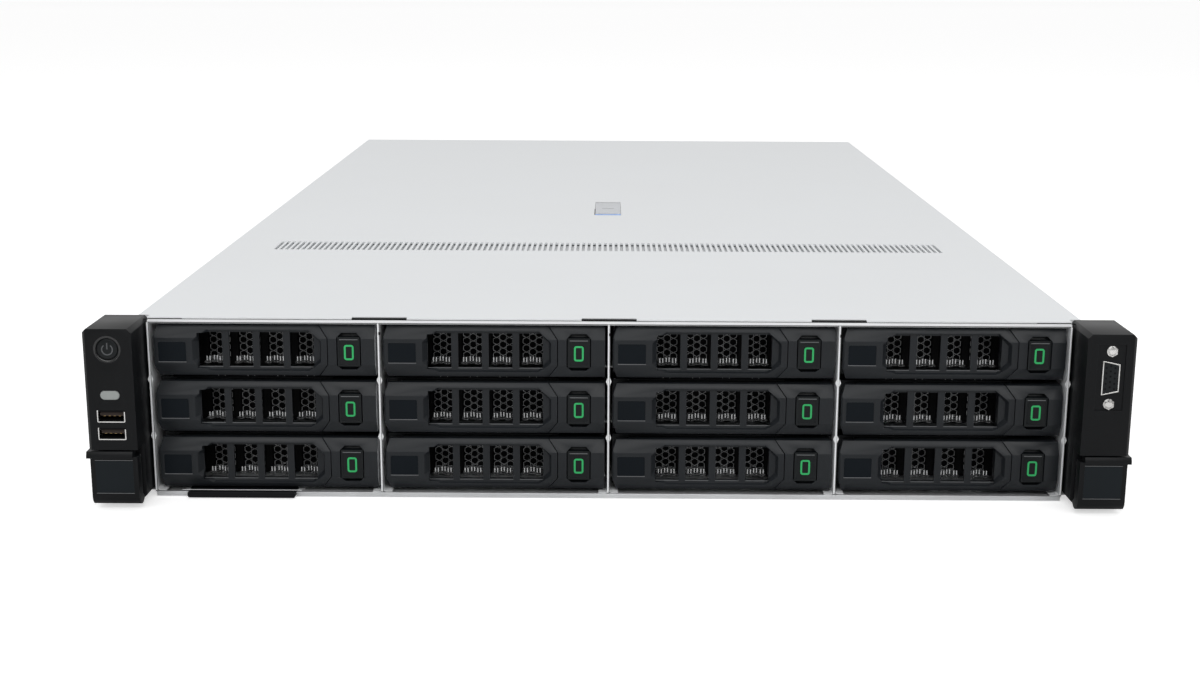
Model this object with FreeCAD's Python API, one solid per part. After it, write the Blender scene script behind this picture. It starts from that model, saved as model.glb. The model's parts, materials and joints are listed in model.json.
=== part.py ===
"""2U rack server with twelve 3.5 inch hot-swap drives.

Frame: +X right, +Y to the rear, +Z up, millimetres. The origin is on the underside of the
chassis, centred left to right, in the plane where the rack ears meet the rack posts.
"""
import FreeCAD
import Part
import math
import os
from FreeCAD import Vector

os.makedirs("parts", exist_ok=True)

# ---------------------------------------------------------------- driving dimensions
# Sheet metal and fits
sheet = 1.2                 # chassis and cover sheet
thin_sheet = 0.8            # cage roof
sheet_gap = 0.1             # between nested sheets
slide_gap = 0.15            # under and beside what slides
pin_gap = 0.05              # round a hinge pin
board_sheet = 1.6           # circuit boards
over = 1.0                  # how far a cutting tool runs past what it cuts

# Drives and bays
columns = 4
rows = 3
drive_width = 101.6
drive_height = 26.1
drive_length = 147.0
drive_room = 0.2            # between a drive and its rails
drive_lift = 0.1            # drive centre above its bezel's centre
drive_back = 28.0           # drive behind the bezel's front
port_left = 30.0            # drive's connector, from the drive's left edge
port_width = 44.0
port_height = 8.0
port_depth = 6.0
wall = 1.4                  # plastic wall of carriers and levers
bay_play = 1.23             # beside a carrier
row_play = 1.55             # between stacked drives
roof_play = 0.25            # between the top drives and the cage roof
bay_floor = 4.0             # underside of the bottom row's bezels
side_channel = 6.58         # from the outer bays to the sides of the cover
foot_reach = 5.0            # foot of each cage upright, to either side
foot_front = 60.0           # where the feet start, behind the rack plane
rail_top = 8.0              # carrier rail above the bezel's centre
ledge = 1.0                 # thickness of the bay ledges

# Chassis
body_rear = 773.0           # rear panel, behind the rack plane
lip_front = 9.0             # cage lip, in front of the rack plane
hem = 2.2                   # height of the turned front edge of the floor
roof_lip = 0.9              # height of the turned front edge of the cage roof
cover_hem = 0.9             # turned-down side edge of the cover
stud_front = 120.0          # front rail stud, behind the rack plane
stud_rear = 93.0            # rear rail stud, in front of the rear panel
stud_r = 3.0
stud_length = 3.5

# Bezel, shared by lever and end block
bezel_relief = 1.5          # bezel is this much lower than the drive
bezel_bevel = 6.0           # height of the slope along the bezel's top and bottom
bezel_slope = 3.0           # how far that slope leans back
edge_bevel = 1.0            # at the hinge end
corner_cut = 2.0            # width cut off the hinge end's corners
block_width = 22.6          # end block, to the right of the seam
seam_kink = 4.3             # how far the seam steps left at the bezel's edges
seam_gap = 0.4

# Lever
lever_depth = 9.0
left_skin = 5.0             # lever depth round its hinge
lever_skin = 1.9            # front skin over the hinge lug
rear_rim = 2.5              # rim round the pocket behind the lever
trough_left = 18.6
trough_rim = 2.8            # from the trough to the seam
trough_margin = 1.9         # above and below the trough
trough_depth = 3.7
trough_corner = 5.5
trough_draft = 2.0
windows = 4
window_lead = 7.8           # first window's centre, from the trough's left end
window_tail = 9.65          # last window's centre, from the trough's right end
window_web = 3.25
window_margin = 1.9         # above and below the windows
label_left = 2.4
label_right = 15.7
label_bottom = -5.5
label_top = 4.4
label_depth = 0.4
hinge_inset = 4.0           # lever hinge from the bezel's left edge and front
hinge_pin = 1.0             # radius
lug_half = 1.6
lug_height = 4.0            # half the lug's height
lug_room = 0.2
pin_margin = 1.3            # pin ends short of the bezel's edges

# Carrier and release button
cross_wall = 12.0           # behind the bezel front
rail_margin = 1.3           # rail's underside above the bezel's
button_inset = 12.35        # button's centre, from the bezel's right edge
pocket_width = 11.5
pocket_margin = 3.4         # above and below the pocket
pocket_corner = 2.2
button_side = 0.5           # round the button's face, at the sides
button_end = 1.85           # round the button's face, above and below
button_depth = 7.0
button_rim = 0.9
dimple_depth = 0.5
flange_front = 3.5
screen_back = 23.7
screen_sheet = 0.6
screen_rim = 1.0            # above and below the screen's openings

# Ears
ear_reach = 17.8            # past the sides of the cover
ear_depth = 31.0
ear_clear = 1.58            # from the outer uprights to the ears
ear_bottom = 2.0
ear_wall = 2.2
ear_back = 2.4              # back wall, against the rack post
ear_corner = 2.0
ear_arris = 1.5
seam_drop = 57.6            # top of the latch recess, below the top of the cover
block_front = 20.0          # ear block that carries the rack screw
leg_length = 46.0           # steel leg on the chassis wall
leg_margin = 9.0
latch_front_depth = 6.0
latch_axis_back = 4.7       # latch hinge behind the ear's front
latch_axis_z = 6.8
latch_drop = 3.4            # latch ends below the seam
tab_drop = 0.8              # tab ends below the seam
tab_out = 1.2
latch_side = 0.4            # latch narrower than the ear at each side
latch_skin = 2.5
latch_pin = 1.2
latch_lug = 6.0
latch_lug_r = 3.0
latch_lug_room = 0.3
rack_screw_inset = 8.75     # from the ear's outer edge
rack_screw_drop = 8.1       # below the seam
rack_screw_r = 2.5
rack_screw_reach = 12.0
screw_neck = 2.2
screw_head = 4.6
screw_stop = 5.0
screw_seat = 5.3
screw_room = 0.3            # round the thread in the ear
seat_depth = 7.0
screw_head_depth = 4.5
socket_r = 2.0
socket_depth = 2.6

# Controls and front sockets
power_drop = 9.6            # heights below the top of the cover
power_r = 4.8
power_dish = 1.6
dish_depth = 0.9
control_gap = 0.2
pill_drop = 31.4
pill_width = 9.0
pill_height = 4.3
pill_gap = 0.15
control_flange = 1.2        # flange that holds a button in, past its cap
usb_drops = (41.4, 49.8)
usb_width = 12.8
usb_height = 5.8
usb_shell = 0.4
usb_tongue = 1.8
usb_gap = 0.1
vga_drop = 20.4
vga_screw_spacing = 24.99
vga_screw_r = 2.6
vga_long = 16.3
vga_short = 8.0
vga_slant = 1.6
vga_shell = 0.5
vga_flange_width = 12.5
vga_flange_height = 30.8
vga_reach = 3.4
control_board = 17.0        # front controls' board, behind the ear's front

# Information tag
tag_inset = 15.4            # from the outer upright
tag_width = 51.5
tag_length = 108.0
tag_blade = 0.8
tag_under = 0.1             # tag above the underside of the chassis
tag_front = 3.0             # grip stands in front of the cage lip
tag_grip = 2.95             # height of the grip
tag_grip_depth = 7.0        # grip behind the cage lip
tag_side = 0.5              # blade narrower than the grip at each side
tag_rib = 3.0               # bridge over the blade, past the slot at each side
tag_bridge = 0.6            # its sheet

# Inside
backplane_gap = 6.0         # behind the drives
connector_width = 42.0
connector_height = 7.0
connector_mate = 5.0        # how far it goes into the drive
fan_setback = 42.0          # fans behind the backplane
fan_count = 4
fan_depth = 38.0
fan_headroom = 4.6
fan_lift = 0.3
fan_margin = 31.0           # from the chassis walls
fan_rim = 2.0               # frame round the bore
fan_hub = 16.0
fan_sides = 16
hub_sides = 12
axle_r = 2.0
blade_count = 5
blade_gap = 2.6             # blade tips to the bore
blade_lean = 9.0
blade_sheet = 1.6
board_lift = 8.0
board_margin = 4.0          # from the left wall
board_setback = 40.0        # behind the fans
board_clear = 8.0           # in front of the rear panel
board_psu_gap = 7.1
sink_size = 92.0
sink_height = 54.0
sink_base = 5.0
sink_fins = 9
sink_fin = 1.0
socket_back = 88.0          # processors behind the board's front
chip_socket = 72.0
dimm_count = 3
dimm_pitch = 8.6
dimm_length = 133.4
dimm_height = 31.0
dimm_socket = 8.0
shroud_gap = 4.0
shroud_drop = 15.8          # roof below the cover sheet at the fans
shroud_rise = 8.0
shroud_slope = 40.0
shroud_back = 90.0          # ends behind the processors
shroud_wall = 2.0

# Cover
vent_slots = 61
vent_web = 1.5
vent_margin = 29.05         # from the sides of the cover
vent_setback = 9.0          # behind the backplane
vent_length = 27.5
cover_front = 5.0           # in front of the rack plane
notch_width = 26.0
notch_depth = 3.0
latch_x = -0.5
latch_width = 17.0
latch_setback = 104.0       # behind the fans
latch_length = 60.0
latch_plate = 3.0
latch_well = 5.0            # under the cover sheet
latch_play = 0.4
latch_flange = 3.0
cover_pin = 1.0
finger_dip = 1.2

# Power supplies and rear panel
psu_count = 2
psu_width = 73.5
psu_length = 185.0
psu_side = 2.4              # from the right wall
psu_bottom = 2.4
psu_gap = 1.0
psu_proud = 2.0             # behind the rear panel
psu_handle = 24.0
psu_handle_bar = 4.0
inlet_width = 25.0
inlet_height = 17.0
inlet_depth = 18.0
inlet_edge = 4.0
grille_slots = 6
grille_pitch = 6.0
grille_slot = 3.0
grille_width = 32.0
riser_count = 2
riser_slots = 3
riser_pitch = 128.0
riser_margin = 9.0
riser_width = 118.0
riser_bottom = 24.0
riser_web = 7.32
port_bottom = 10.0

# ---------------------------------------------------------------- derived places
carrier_width = drive_width + 2 * (wall + drive_room)
carrier_height = drive_height - bezel_relief
carrier_half = carrier_height / 2.0
bay_pitch = carrier_width + 2 * bay_play + sheet
row_pitch = drive_height + row_play
cage_half = columns * bay_pitch / 2.0
bottom_row = bay_floor + carrier_half
top_drive = bottom_row + (rows - 1) * row_pitch + drive_lift + drive_height / 2.0
cage_under = top_drive + roof_play
cage_top = cage_under + thin_sheet
cover_under = cage_top
body_height = cover_under + sheet
body_width = 2 * (cage_half + side_channel)
wall_outer = body_width / 2.0 - sheet - sheet_gap
wall_inner = wall_outer - sheet
rack_width = body_width + 2 * ear_reach
bezel_front = -lip_front

seam_middle = carrier_width - block_width
seam_edge = seam_middle - seam_kink
trough_right = seam_middle - trough_rim
trough_half = carrier_half - trough_margin
window_first = trough_left + window_lead
window_pitch = (trough_right - window_tail - window_first) / (windows - 1)
window_width = window_pitch - window_web
window_height = 2 * (trough_half - window_margin)
button_centre = carrier_width - button_inset
pocket_height = carrier_height - 2 * pocket_margin
rail_bottom = rail_margin - carrier_half

ear_inner = cage_half + ear_clear
ear_outer = rack_width / 2.0
ear_front = -ear_depth
ear_seam = body_height - seam_drop
control_x = (ear_inner + ear_outer) / 2.0
power_z = body_height - power_drop
pill_z = body_height - pill_drop
usb_heights = [body_height - drop for drop in usb_drops]
vga_z = body_height - vga_drop
control_back = ear_front + control_board
latch_axis_y = ear_front + latch_axis_back
latch_top = ear_seam - latch_drop
tab_top = ear_seam - tab_drop
rack_screw_x = ear_outer - rack_screw_inset
rack_screw_z = ear_seam - rack_screw_drop

tag_left = -cage_half + tag_inset
tag_right = tag_left + tag_width
tag_behind = tag_grip_depth - lip_front

backplane_front = drive_back + drive_length - lip_front + backplane_gap
fan_front = backplane_front + fan_setback
fan_back = fan_front + fan_depth
fan_size = cover_under - sheet - fan_headroom
fan_bore = fan_size / 2.0 - fan_rim
fan_pitch = (2 * (wall_inner - fan_margin) - fan_size) / (fan_count - 1)
psu_right = wall_inner - psu_side
psu_left = psu_right - psu_width
psu_height = (cover_under - 2 * psu_bottom - (psu_count - 1) * psu_gap) / psu_count
psu_back = body_rear + psu_proud
psu_front = psu_back - psu_length
board_left = -wall_inner + board_margin
board_right = psu_left - board_psu_gap
board_front = fan_back + board_setback
board_rear = body_rear - board_clear
board_top = board_lift + board_sheet
processor_y = board_front + socket_back
board_width = board_right - board_left
sinks = (board_left + board_width / 4.0, board_right - board_width / 4.0)
riser_slot_pitch = (cover_under - riser_bottom) / riser_slots

vent_front = backplane_front + vent_setback
vent_pitch = (body_width - 2 * vent_margin + vent_web) / vent_slots
latch_front = fan_front + latch_setback
latch_back = latch_front + latch_length
latch_axis_height = body_height - latch_plate
latch_left = latch_x - latch_width / 2.0
latch_right = latch_x + latch_width / 2.0


# ---------------------------------------------------------------- shape helpers
def box(x0, x1, y0, y1, z0, z1):
    return Part.makeBox(x1 - x0, y1 - y0, z1 - z0, Vector(x0, y0, z0))


def rod(x, y, z, radius, length, axis):
    return Part.makeCylinder(radius, length, Vector(x, y, z), axis)


def ring_of(cx, cy, radius, sides):
    """Corners of a regular polygon, flat side down, as pairs."""
    return [(cx + radius * math.cos((k + 0.5) * 2 * math.pi / sides),
             cy + radius * math.sin((k + 0.5) * 2 * math.pi / sides)) for k in range(sides)]


def ring_round(cx, cy, radius, sides):
    """Corners of a regular polygon that clears a circle of this radius."""
    return ring_of(cx, cy, radius / math.cos(math.pi / sides), sides)


def face_of(points):
    return Part.Face(Part.makePolygon(points + points[:1]))


def slab_xz(outline, y0, y1):
    return face_of([Vector(x, y0, z) for x, z in outline]).extrude(Vector(0, y1 - y0, 0))


def slab_xy(outline, z0, z1):
    return face_of([Vector(x, y, z0) for x, y in outline]).extrude(Vector(0, 0, z1 - z0))


def slab_yz(outline, x0, x1):
    return face_of([Vector(x0, y, z) for y, z in outline]).extrude(Vector(x1 - x0, 0, 0))


def fuse(shapes):
    return shapes[0].multiFuse(shapes[1:]).removeSplitter()


def without(shape, tools):
    return shape.cut(tools).removeSplitter()


def group(shapes):
    return Part.makeCompound(shapes)


def mirror(shape):
    return shape.mirror(Vector(0, 0, 0), Vector(1, 0, 0))


def moved(shape, x, y, z):
    copy = shape.copy()
    copy.translate(Vector(x, y, z))
    return copy


def chamfered(x0, x1, z0, z1, corner):
    """Outline of a rectangle with four cut corners."""
    return [(x0 + corner, z0), (x1 - corner, z0), (x1, z0 + corner), (x1, z1 - corner),
            (x1 - corner, z1), (x0 + corner, z1), (x0, z1 - corner), (x0, z0 + corner)]


def stadium(x, z, width, height, y0, y1):
    """A block with round ends, lying along X."""
    r = height / 2.0
    half = width / 2.0 - r
    middle = box(x - half, x + half, y0, y1, z - r, z + r)
    ends = [rod(x + side * half, y0, z, r, y1 - y0, Vector(0, 1, 0)) for side in (-1, 1)]
    return fuse([middle] + ends)


def flat_pin(x, y, z, radius, length, axis):
    """Round pin along X, Y or Z with flats on four sides, so that it snaps into its seat."""
    pin = rod(x, y, z, radius, length, axis)
    flat = 0.8 * radius
    reach = Vector(flat, flat, flat) + axis * length
    keep = Part.makeBox(flat + reach.x, flat + reach.y, flat + reach.z, Vector(x - flat, y - flat, z - flat))
    return pin.common(keep)


def save(name, shape):
    shape.exportStep("parts/" + name + ".step")


# ---------------------------------------------------------------- chassis
def chassis_base():
    """Folded tub with the tag's tunnel in its floor and the rail studs on its sides."""
    section = [(-wall_outer, 0), (wall_outer, 0), (wall_outer, cover_under), (wall_inner, cover_under),
               (wall_inner, sheet), (-wall_inner, sheet), (-wall_inner, cover_under),
               (-wall_outer, cover_under)]
    tub = slab_xz(section, 0, body_rear)
    apron = box(-cage_half, cage_half, bezel_front, 0, 0, sheet)
    front = box(-cage_half, cage_half, bezel_front, bezel_front + sheet, sheet, hem)
    blade_top = tag_under + tag_blade + 2 * slide_gap
    bridge = box(tag_left - tag_rib, tag_right + tag_rib, tag_behind, tag_length + 2, sheet,
                 blade_top + tag_bridge)
    slot = box(tag_left - slide_gap, tag_right + slide_gap, bezel_front - over, tag_behind, -over,
               hem + over)
    blade_room = box(tag_left - slide_gap, tag_right + slide_gap, tag_behind - over, tag_length, -over,
                     blade_top)
    studs = [rod(side * wall_outer, y, body_height / 2.0, stud_r, stud_length, Vector(side, 0, 0))
             for side in (-1, 1) for y in (stud_front, body_rear - stud_rear)]
    return fuse([without(fuse([tub, apron, front, bridge]), [slot, blade_room])] + studs)


def bay_ledge(x, side, z):
    """Ledge under one carrier rail, bent out of the upright at x."""
    reach = bay_play + sheet / 2.0 + wall
    x0, x1 = sorted((x, x + side * reach))
    return box(x0, x1, cross_wall, backplane_front - 10, z - ledge, z)


def drive_cage():
    """Roof, uprights with their feet, and one pair of ledges per bay."""
    roof = box(-cage_half, cage_half, bezel_front, backplane_front, cage_under, cage_top)
    lip = box(-cage_half, cage_half, bezel_front, bezel_front + sheet, cage_top, cage_top + roof_lip)
    pieces = [roof, lip]
    for i in range(columns + 1):
        x = -cage_half + i * bay_pitch
        pieces.append(box(x - sheet / 2.0, x + sheet / 2.0, bezel_front, backplane_front, sheet, cage_under))
        left = max(x - foot_reach, -wall_inner + sheet_gap)
        right = min(x + foot_reach, wall_inner - sheet_gap)
        pieces.append(box(left, right, foot_front, backplane_front, sheet, sheet + thin_sheet))
        for row in range(rows):
            z = bottom_row + row * row_pitch + rail_bottom - slide_gap
            sides = [side for side in (-1, 1) if abs(x + side) < cage_half]
            pieces.extend(bay_ledge(x, side, z) for side in sides)
    over_hem = box(-cage_half - over, cage_half + over, bezel_front - over, bezel_front + sheet, 0, hem)
    return without(fuse(pieces), [over_hem])


# ---------------------------------------------------------------- drive carriers
def bezel_profile(x0, x1):
    """Front band of a carrier: flat in the middle, sloping back to the top and bottom edge."""
    flat = carrier_half - bezel_bevel
    return slab_yz([(0, -flat), (0, flat), (bezel_slope, carrier_half), (lever_depth, carrier_half),
                    (lever_depth, -carrier_half), (bezel_slope, -carrier_half)], x0, x1)


def seam_side(x_edge, x_middle, x_far):
    """Everything to one side of the kinked seam between lever and end block."""
    flat = carrier_half - bezel_bevel
    past = carrier_half + over
    return slab_xz([(x_far, -past), (x_edge, -past), (x_edge, -carrier_half), (x_middle, -flat),
                    (x_middle, flat), (x_edge, carrier_half), (x_edge, past), (x_far, past)],
                   -over, lever_depth + over)


def trough():
    """Long eight-cornered hollow with slanted walls, as a solid to cut with."""
    loops = []
    for y, inset in ((-0.01, 0), (trough_depth, trough_draft)):
        height = trough_half - inset / 2.0
        corners = chamfered(trough_left + inset, trough_right - inset / 2.0, -height, height, trough_corner)
        points = [Vector(x, y, z) for x, z in corners]
        loops.append(Part.makePolygon(points + points[:1]))
    return Part.makeLoft(loops, True, True)


def window_centre(i):
    return window_first + i * window_pitch


def lever():
    """Pivoted front lever; local x from the bezel's left edge, y from its front, z from its centre."""
    body = bezel_profile(0, seam_middle).common(seam_side(seam_edge, seam_middle, -over))
    back = lever_depth + over
    rim = carrier_half - rear_rim
    rear_pocket = box(wall, trough_right - 4, trough_depth + wall, back, -rim, rim)
    room = lug_height + lug_room
    lug_pocket = box(-over, trough_left, lever_skin, back, -room, room)
    heel = box(-over, 2 * hinge_inset, left_skin, back, -carrier_half - over, carrier_half + over)
    near = hinge_inset - hinge_pin - pin_gap
    far = hinge_inset + hinge_pin + pin_gap
    notch_half = carrier_half - pin_margin + lug_room / 2.0
    notch = box(near, far, near, back, -notch_half, notch_half)
    bevel = slab_xy([(-over, -over), (edge_bevel, -over), (edge_bevel, 0), (0, edge_bevel),
                     (-over, edge_bevel)], -carrier_half - over, carrier_half + over)
    flat = carrier_half - bezel_bevel
    past = carrier_half + over
    corners = [slab_xz([(-over, side * flat), (0, side * flat), (corner_cut, side * carrier_half),
                        (corner_cut, side * past), (-over, side * past)], -over, lever_depth + over)
               for side in (-1, 1)]
    label = box(label_left, label_right, -over, label_depth, label_bottom, label_top)
    half = window_width / 2.0
    holes = [box(window_centre(i) - half, window_centre(i) + half, 0, back,
                 -window_height / 2.0, window_height / 2.0) for i in range(windows)]
    return without(body, [trough(), rear_pocket, lug_pocket, heel, notch, bevel, label] + corners + holes)


def carrier():
    """Tray, screen and drive of one carrier, in the lever's local frame."""
    tray_back = drive_back + drive_length
    middle = seam_middle + seam_gap
    block = bezel_profile(seam_edge, carrier_width)
    block = block.common(seam_side(seam_edge + seam_gap, middle, carrier_width + over))
    heel = box(middle, carrier_width, lever_depth, cross_wall, -carrier_half, carrier_half)
    cross = box(0, carrier_width, cross_wall, cross_wall + wall, -carrier_half, carrier_half)
    rails = [box(x, x + wall, cross_wall, tray_back, rail_bottom, rail_top)
             for x in (0, carrier_width - wall)]
    lug = box(hinge_inset - lug_half, hinge_inset + lug_half, hinge_inset, cross_wall, -lug_height,
              lug_height)
    pin_half = carrier_half - pin_margin
    pin = flat_pin(hinge_inset, hinge_inset, -pin_half, hinge_pin, 2 * pin_half, Vector(0, 0, 1))
    pocket = slab_xz(pocket_outline(0), -over, cross_wall - over)
    opening = box(trough_left, trough_right, lever_depth, drive_back, -trough_half, trough_half)
    tray = fuse([without(fuse([block, heel, cross] + rails), [pocket, opening]), lug, pin])
    screen = box(wall, carrier_width - wall, screen_back, screen_back + screen_sheet, -trough_half, rail_top)
    half = window_width / 2.0
    cells = [box(window_centre(i) - half, window_centre(i) + half, screen_back - over,
                 screen_back + screen_sheet + over, screen_rim - trough_half, rail_top - screen_rim)
             for i in range(windows)]
    left = wall + drive_room
    low = drive_lift - drive_height / 2.0
    drive = box(left, left + drive_width, drive_back, tray_back, low, low + drive_height)
    port = box(left + port_left, left + port_left + port_width, tray_back - port_depth, tray_back + over,
               low, low + port_height)
    return group([tray, without(screen, cells), without(drive, [port])])


def pocket_outline(inset):
    """Outline of the release button's pocket, or of what fits it with a gap all round."""
    half_w = pocket_width / 2.0 - inset
    half_h = pocket_height / 2.0 - inset
    return chamfered(button_centre - half_w, button_centre + half_w, -half_h, half_h, pocket_corner)


def release_button():
    half_w = pocket_width / 2.0 - button_side
    half_h = pocket_height / 2.0 - button_end
    face = box(button_centre - half_w, button_centre + half_w, 0, flange_front, -half_h, half_h)
    dimple_half = half_w - button_rim
    dimple = box(button_centre - dimple_half, button_centre + dimple_half, -over, dimple_depth,
                 -half_h + button_rim, half_h - 2 * button_rim)
    flange = slab_xz(pocket_outline(slide_gap), flange_front, button_depth)
    return fuse([without(face, [dimple]), flange])


def bay_place(column, row):
    """Left edge, front and centre height of one carrier's bezel."""
    x = -cage_half + column * bay_pitch + (bay_pitch - carrier_width) / 2.0
    z = bottom_row + (rows - 1 - row) * row_pitch
    return x, bezel_front, z


# ---------------------------------------------------------------- ears, latches, controls
def ear_shell():
    """Right-hand ear without its sockets; the left one is its mirror image."""
    outer = slab_xz(chamfered(ear_inner, ear_outer, ear_bottom, body_height, ear_corner), ear_front, 0)
    past = ear_front - over
    arris = slab_xy([(ear_outer - ear_arris, past), (ear_outer + over, past),
                     (ear_outer + over, ear_front + ear_arris), (ear_outer, ear_front + ear_arris),
                     (ear_outer - ear_arris, ear_front)], 0, body_height + over)
    recess = box(ear_inner - over, ear_outer + over, past, -block_front, 0, ear_seam)
    cavity = box(ear_inner + ear_wall, ear_outer - ear_wall, ear_front + ear_wall, -ear_back,
                 ear_seam + ear_wall, body_height - ear_wall)
    x0 = control_x - latch_lug / 2.0
    x1 = control_x + latch_lug / 2.0
    lug = box(x0, x1, latch_axis_y, -block_front, latch_axis_z - 0.5, latch_axis_z + latch_lug_r)
    eye = slab_yz(ring_of(latch_axis_y, latch_axis_z, latch_lug_r, 12), x0, x1)
    bore = slab_xz(ring_of(rack_screw_x, rack_screw_z, rack_screw_r + screw_room, 8),
                   -block_front - over, over)
    seat = slab_xz(ring_of(rack_screw_x, rack_screw_z, screw_seat, 8), -block_front - over,
                   -block_front + seat_depth)
    pin_hole = slab_yz(ring_round(latch_axis_y, latch_axis_z, latch_pin, 12), ear_inner, ear_outer)
    shell = without(outer, [arris, recess, cavity])
    return without(fuse([shell, lug, eye]), [bore, seat, pin_hole])


def ear_bracket():
    """Steel leg that carries the ear, flat against the chassis wall."""
    return box(wall_outer, wall_outer + sheet, 0, leg_length, leg_margin, body_height - leg_margin)


def latch_hinge_pin():
    length = ear_outer - ear_inner - 2 * latch_skin
    return flat_pin(ear_inner + latch_skin, latch_axis_y, latch_axis_z, latch_pin, length, Vector(1, 0, 0))


def ear_latch():
    """Right-hand flip-down latch at the foot of the ear."""
    back = ear_front + latch_front_depth
    heel = [(latch_axis_y - latch_axis_back * math.cos(a), latch_axis_z - latch_axis_back * math.sin(a))
            for a in (math.radians(15 * k) for k in range(1, 11))]
    face = [(back, latch_axis_z), (back, latch_top), (ear_front, latch_top), (ear_front, latch_axis_z)]
    slab = slab_yz(face + heel, ear_inner + latch_side, ear_outer - latch_side)
    tab_low = latch_top - 0.6
    tab_front = ear_front - 0.8
    tab_back = back - 1
    tab = slab_yz([(tab_front, tab_low), (tab_front, latch_top + 0.8), (ear_front, tab_top),
                   (tab_back, tab_top), (tab_back, tab_low)], ear_inner + latch_skin, ear_outer + tab_out)
    reach = latch_lug_r + latch_lug_room
    x0 = control_x - latch_lug / 2.0 - lug_room
    x1 = control_x + latch_lug / 2.0 + lug_room
    eye_room = slab_yz(ring_of(latch_axis_y, latch_axis_z, reach, 12), x0, x1)
    heel_back = latch_axis_y + latch_axis_back + over
    lug_slot = box(x0, x1, latch_axis_y, heel_back, 0, latch_axis_z + reach)
    swing_room = box(x0, x1, latch_axis_y - reach, heel_back, latch_axis_z, latch_axis_z + reach)
    hole = slab_yz(ring_round(latch_axis_y, latch_axis_z, latch_pin + pin_gap, 12),
                   ear_inner + latch_skin - pin_gap, ear_outer - latch_skin + pin_gap)
    hollow = box(ear_inner + latch_skin, ear_outer - latch_skin, ear_front + 2, back + over,
                 latch_axis_z + latch_lug_r + latch_skin, latch_top - 2)
    return without(fuse([slab, tab]), [eye_room, lug_slot, swing_room, hole, hollow])


def left_ear():
    past = ear_front + ear_wall + over
    dish = rod(-control_x, ear_front - over, power_z, power_r + power_dish, over + dish_depth,
               Vector(0, 1, 0))
    hole = slab_xz(ring_round(-control_x, power_z, power_r + control_gap, 24), ear_front - over, past)
    pill = stadium(-control_x, pill_z, pill_width + 2 * pill_gap, pill_height + 2 * pill_gap,
                   ear_front - over, past)
    half_w = usb_width / 2.0 + usb_gap
    half_h = usb_height / 2.0 + usb_gap
    ports = [box(-control_x - half_w, -control_x + half_w, ear_front - over, past, z - half_h, z + half_h)
             for z in usb_heights]
    shell = without(mirror(ear_shell()), [dish, hole, pill] + ports)
    return group([shell, mirror(ear_bracket()), mirror(latch_hinge_pin())])


def right_ear():
    half_w = vga_flange_width / 2.0 + control_gap
    half_h = vga_flange_height / 2.0 + control_gap
    window = box(control_x - half_w, control_x + half_w, ear_front - over, ear_front + ear_wall + over,
                 vga_z - half_h, vga_z + half_h)
    return group([without(ear_shell(), [window]), ear_bracket(), latch_hinge_pin()])


def power_button():
    front = ear_front + 0.5
    back = ear_front + ear_wall + control_gap
    cap = rod(-control_x, front, power_z, power_r, back - front, Vector(0, 1, 0))
    flange = slab_xz(ring_of(-control_x, power_z, power_r + control_flange, 8), back, back + 1.6)
    stem = slab_xz(ring_of(-control_x, power_z, 1.8, 6), back, control_back - 5)
    return fuse([cap, flange, stem])


def status_button():
    front = ear_front + 0.1
    back = ear_front + ear_wall + control_gap
    cap = stadium(-control_x, pill_z, pill_width, pill_height, front, back)
    half_w = pill_width / 2.0 + control_flange
    half_h = pill_height / 2.0 + control_flange
    flange = box(-control_x - half_w, -control_x + half_w, back, back + 1.2, pill_z - half_h, pill_z + half_h)
    stem = slab_xz(ring_of(-control_x, pill_z, 1.8, 6), back, control_back - 5)
    return fuse([cap, flange, stem])


def usb_socket(z):
    half_w = usb_width / 2.0
    half_h = usb_height / 2.0
    front = ear_front + 0.3
    shell = box(-control_x - half_w, -control_x + half_w, front, control_back, z - half_h, z + half_h)
    mouth = box(-control_x - half_w + usb_shell, -control_x + half_w - usb_shell, front - over,
                control_back - over, z - half_h + usb_shell, z + half_h - usb_shell)
    tongue = box(-control_x - half_w + 1, -control_x + half_w - 1, front + 1.5, control_back - over,
                 z - 0.2, z - 0.2 + usb_tongue)
    return fuse([without(shell, [mouth]), tongue])


def d_outline(inset):
    """D-shaped outline standing on end, its long side to the left."""
    half_w = vga_short / 2.0 - inset
    half_h = vga_long / 2.0 - inset
    return [(control_x - half_w, vga_z - half_h), (control_x + half_w, vga_z - half_h + vga_slant),
            (control_x + half_w, vga_z + half_h - vga_slant), (control_x - half_w, vga_z + half_h)]


def vga_socket():
    face = ear_front + ear_wall + 0.8
    half_w = vga_flange_width / 2.0
    half_h = vga_flange_height / 2.0
    flange = box(control_x - half_w, control_x + half_w, face, face + 1, vga_z - half_h, vga_z + half_h)
    rim = slab_xz(d_outline(0), face - vga_reach, face)
    mouth = slab_xz(d_outline(vga_shell), face - vga_reach - over, face - 1.4)
    body = box(control_x - 5, control_x + 5, face + 1, control_back, vga_z - 12, vga_z + 12)
    screws = [slab_xz(ring_of(control_x, vga_z + side * vga_screw_spacing / 2.0, vga_screw_r, 6),
                      face - vga_reach, face) for side in (-1, 1)]
    return fuse([flange, without(rim, [mouth]), body] + screws)


def front_ports():
    margin = ear_wall + control_gap
    board = box(ear_inner + margin, ear_outer - margin, control_back, control_back + board_sheet,
                ear_seam + margin, body_height - margin)
    return group([usb_socket(z) for z in usb_heights] + [vga_socket(), board, mirror(board)])


def info_tag():
    """Pull-out tag: a grip under the bezels and a blade in the floor's tunnel."""
    top = tag_under + tag_grip
    back = tag_behind - slide_gap
    grip = slab_xz(chamfered(tag_left, tag_right, tag_under, top, 0.5), bezel_front - tag_front, back)
    blade = box(tag_left + tag_side, tag_right - tag_side, back, tag_length - over, tag_under + slide_gap,
                tag_under + slide_gap + tag_blade)
    return fuse([grip, blade])


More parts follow.
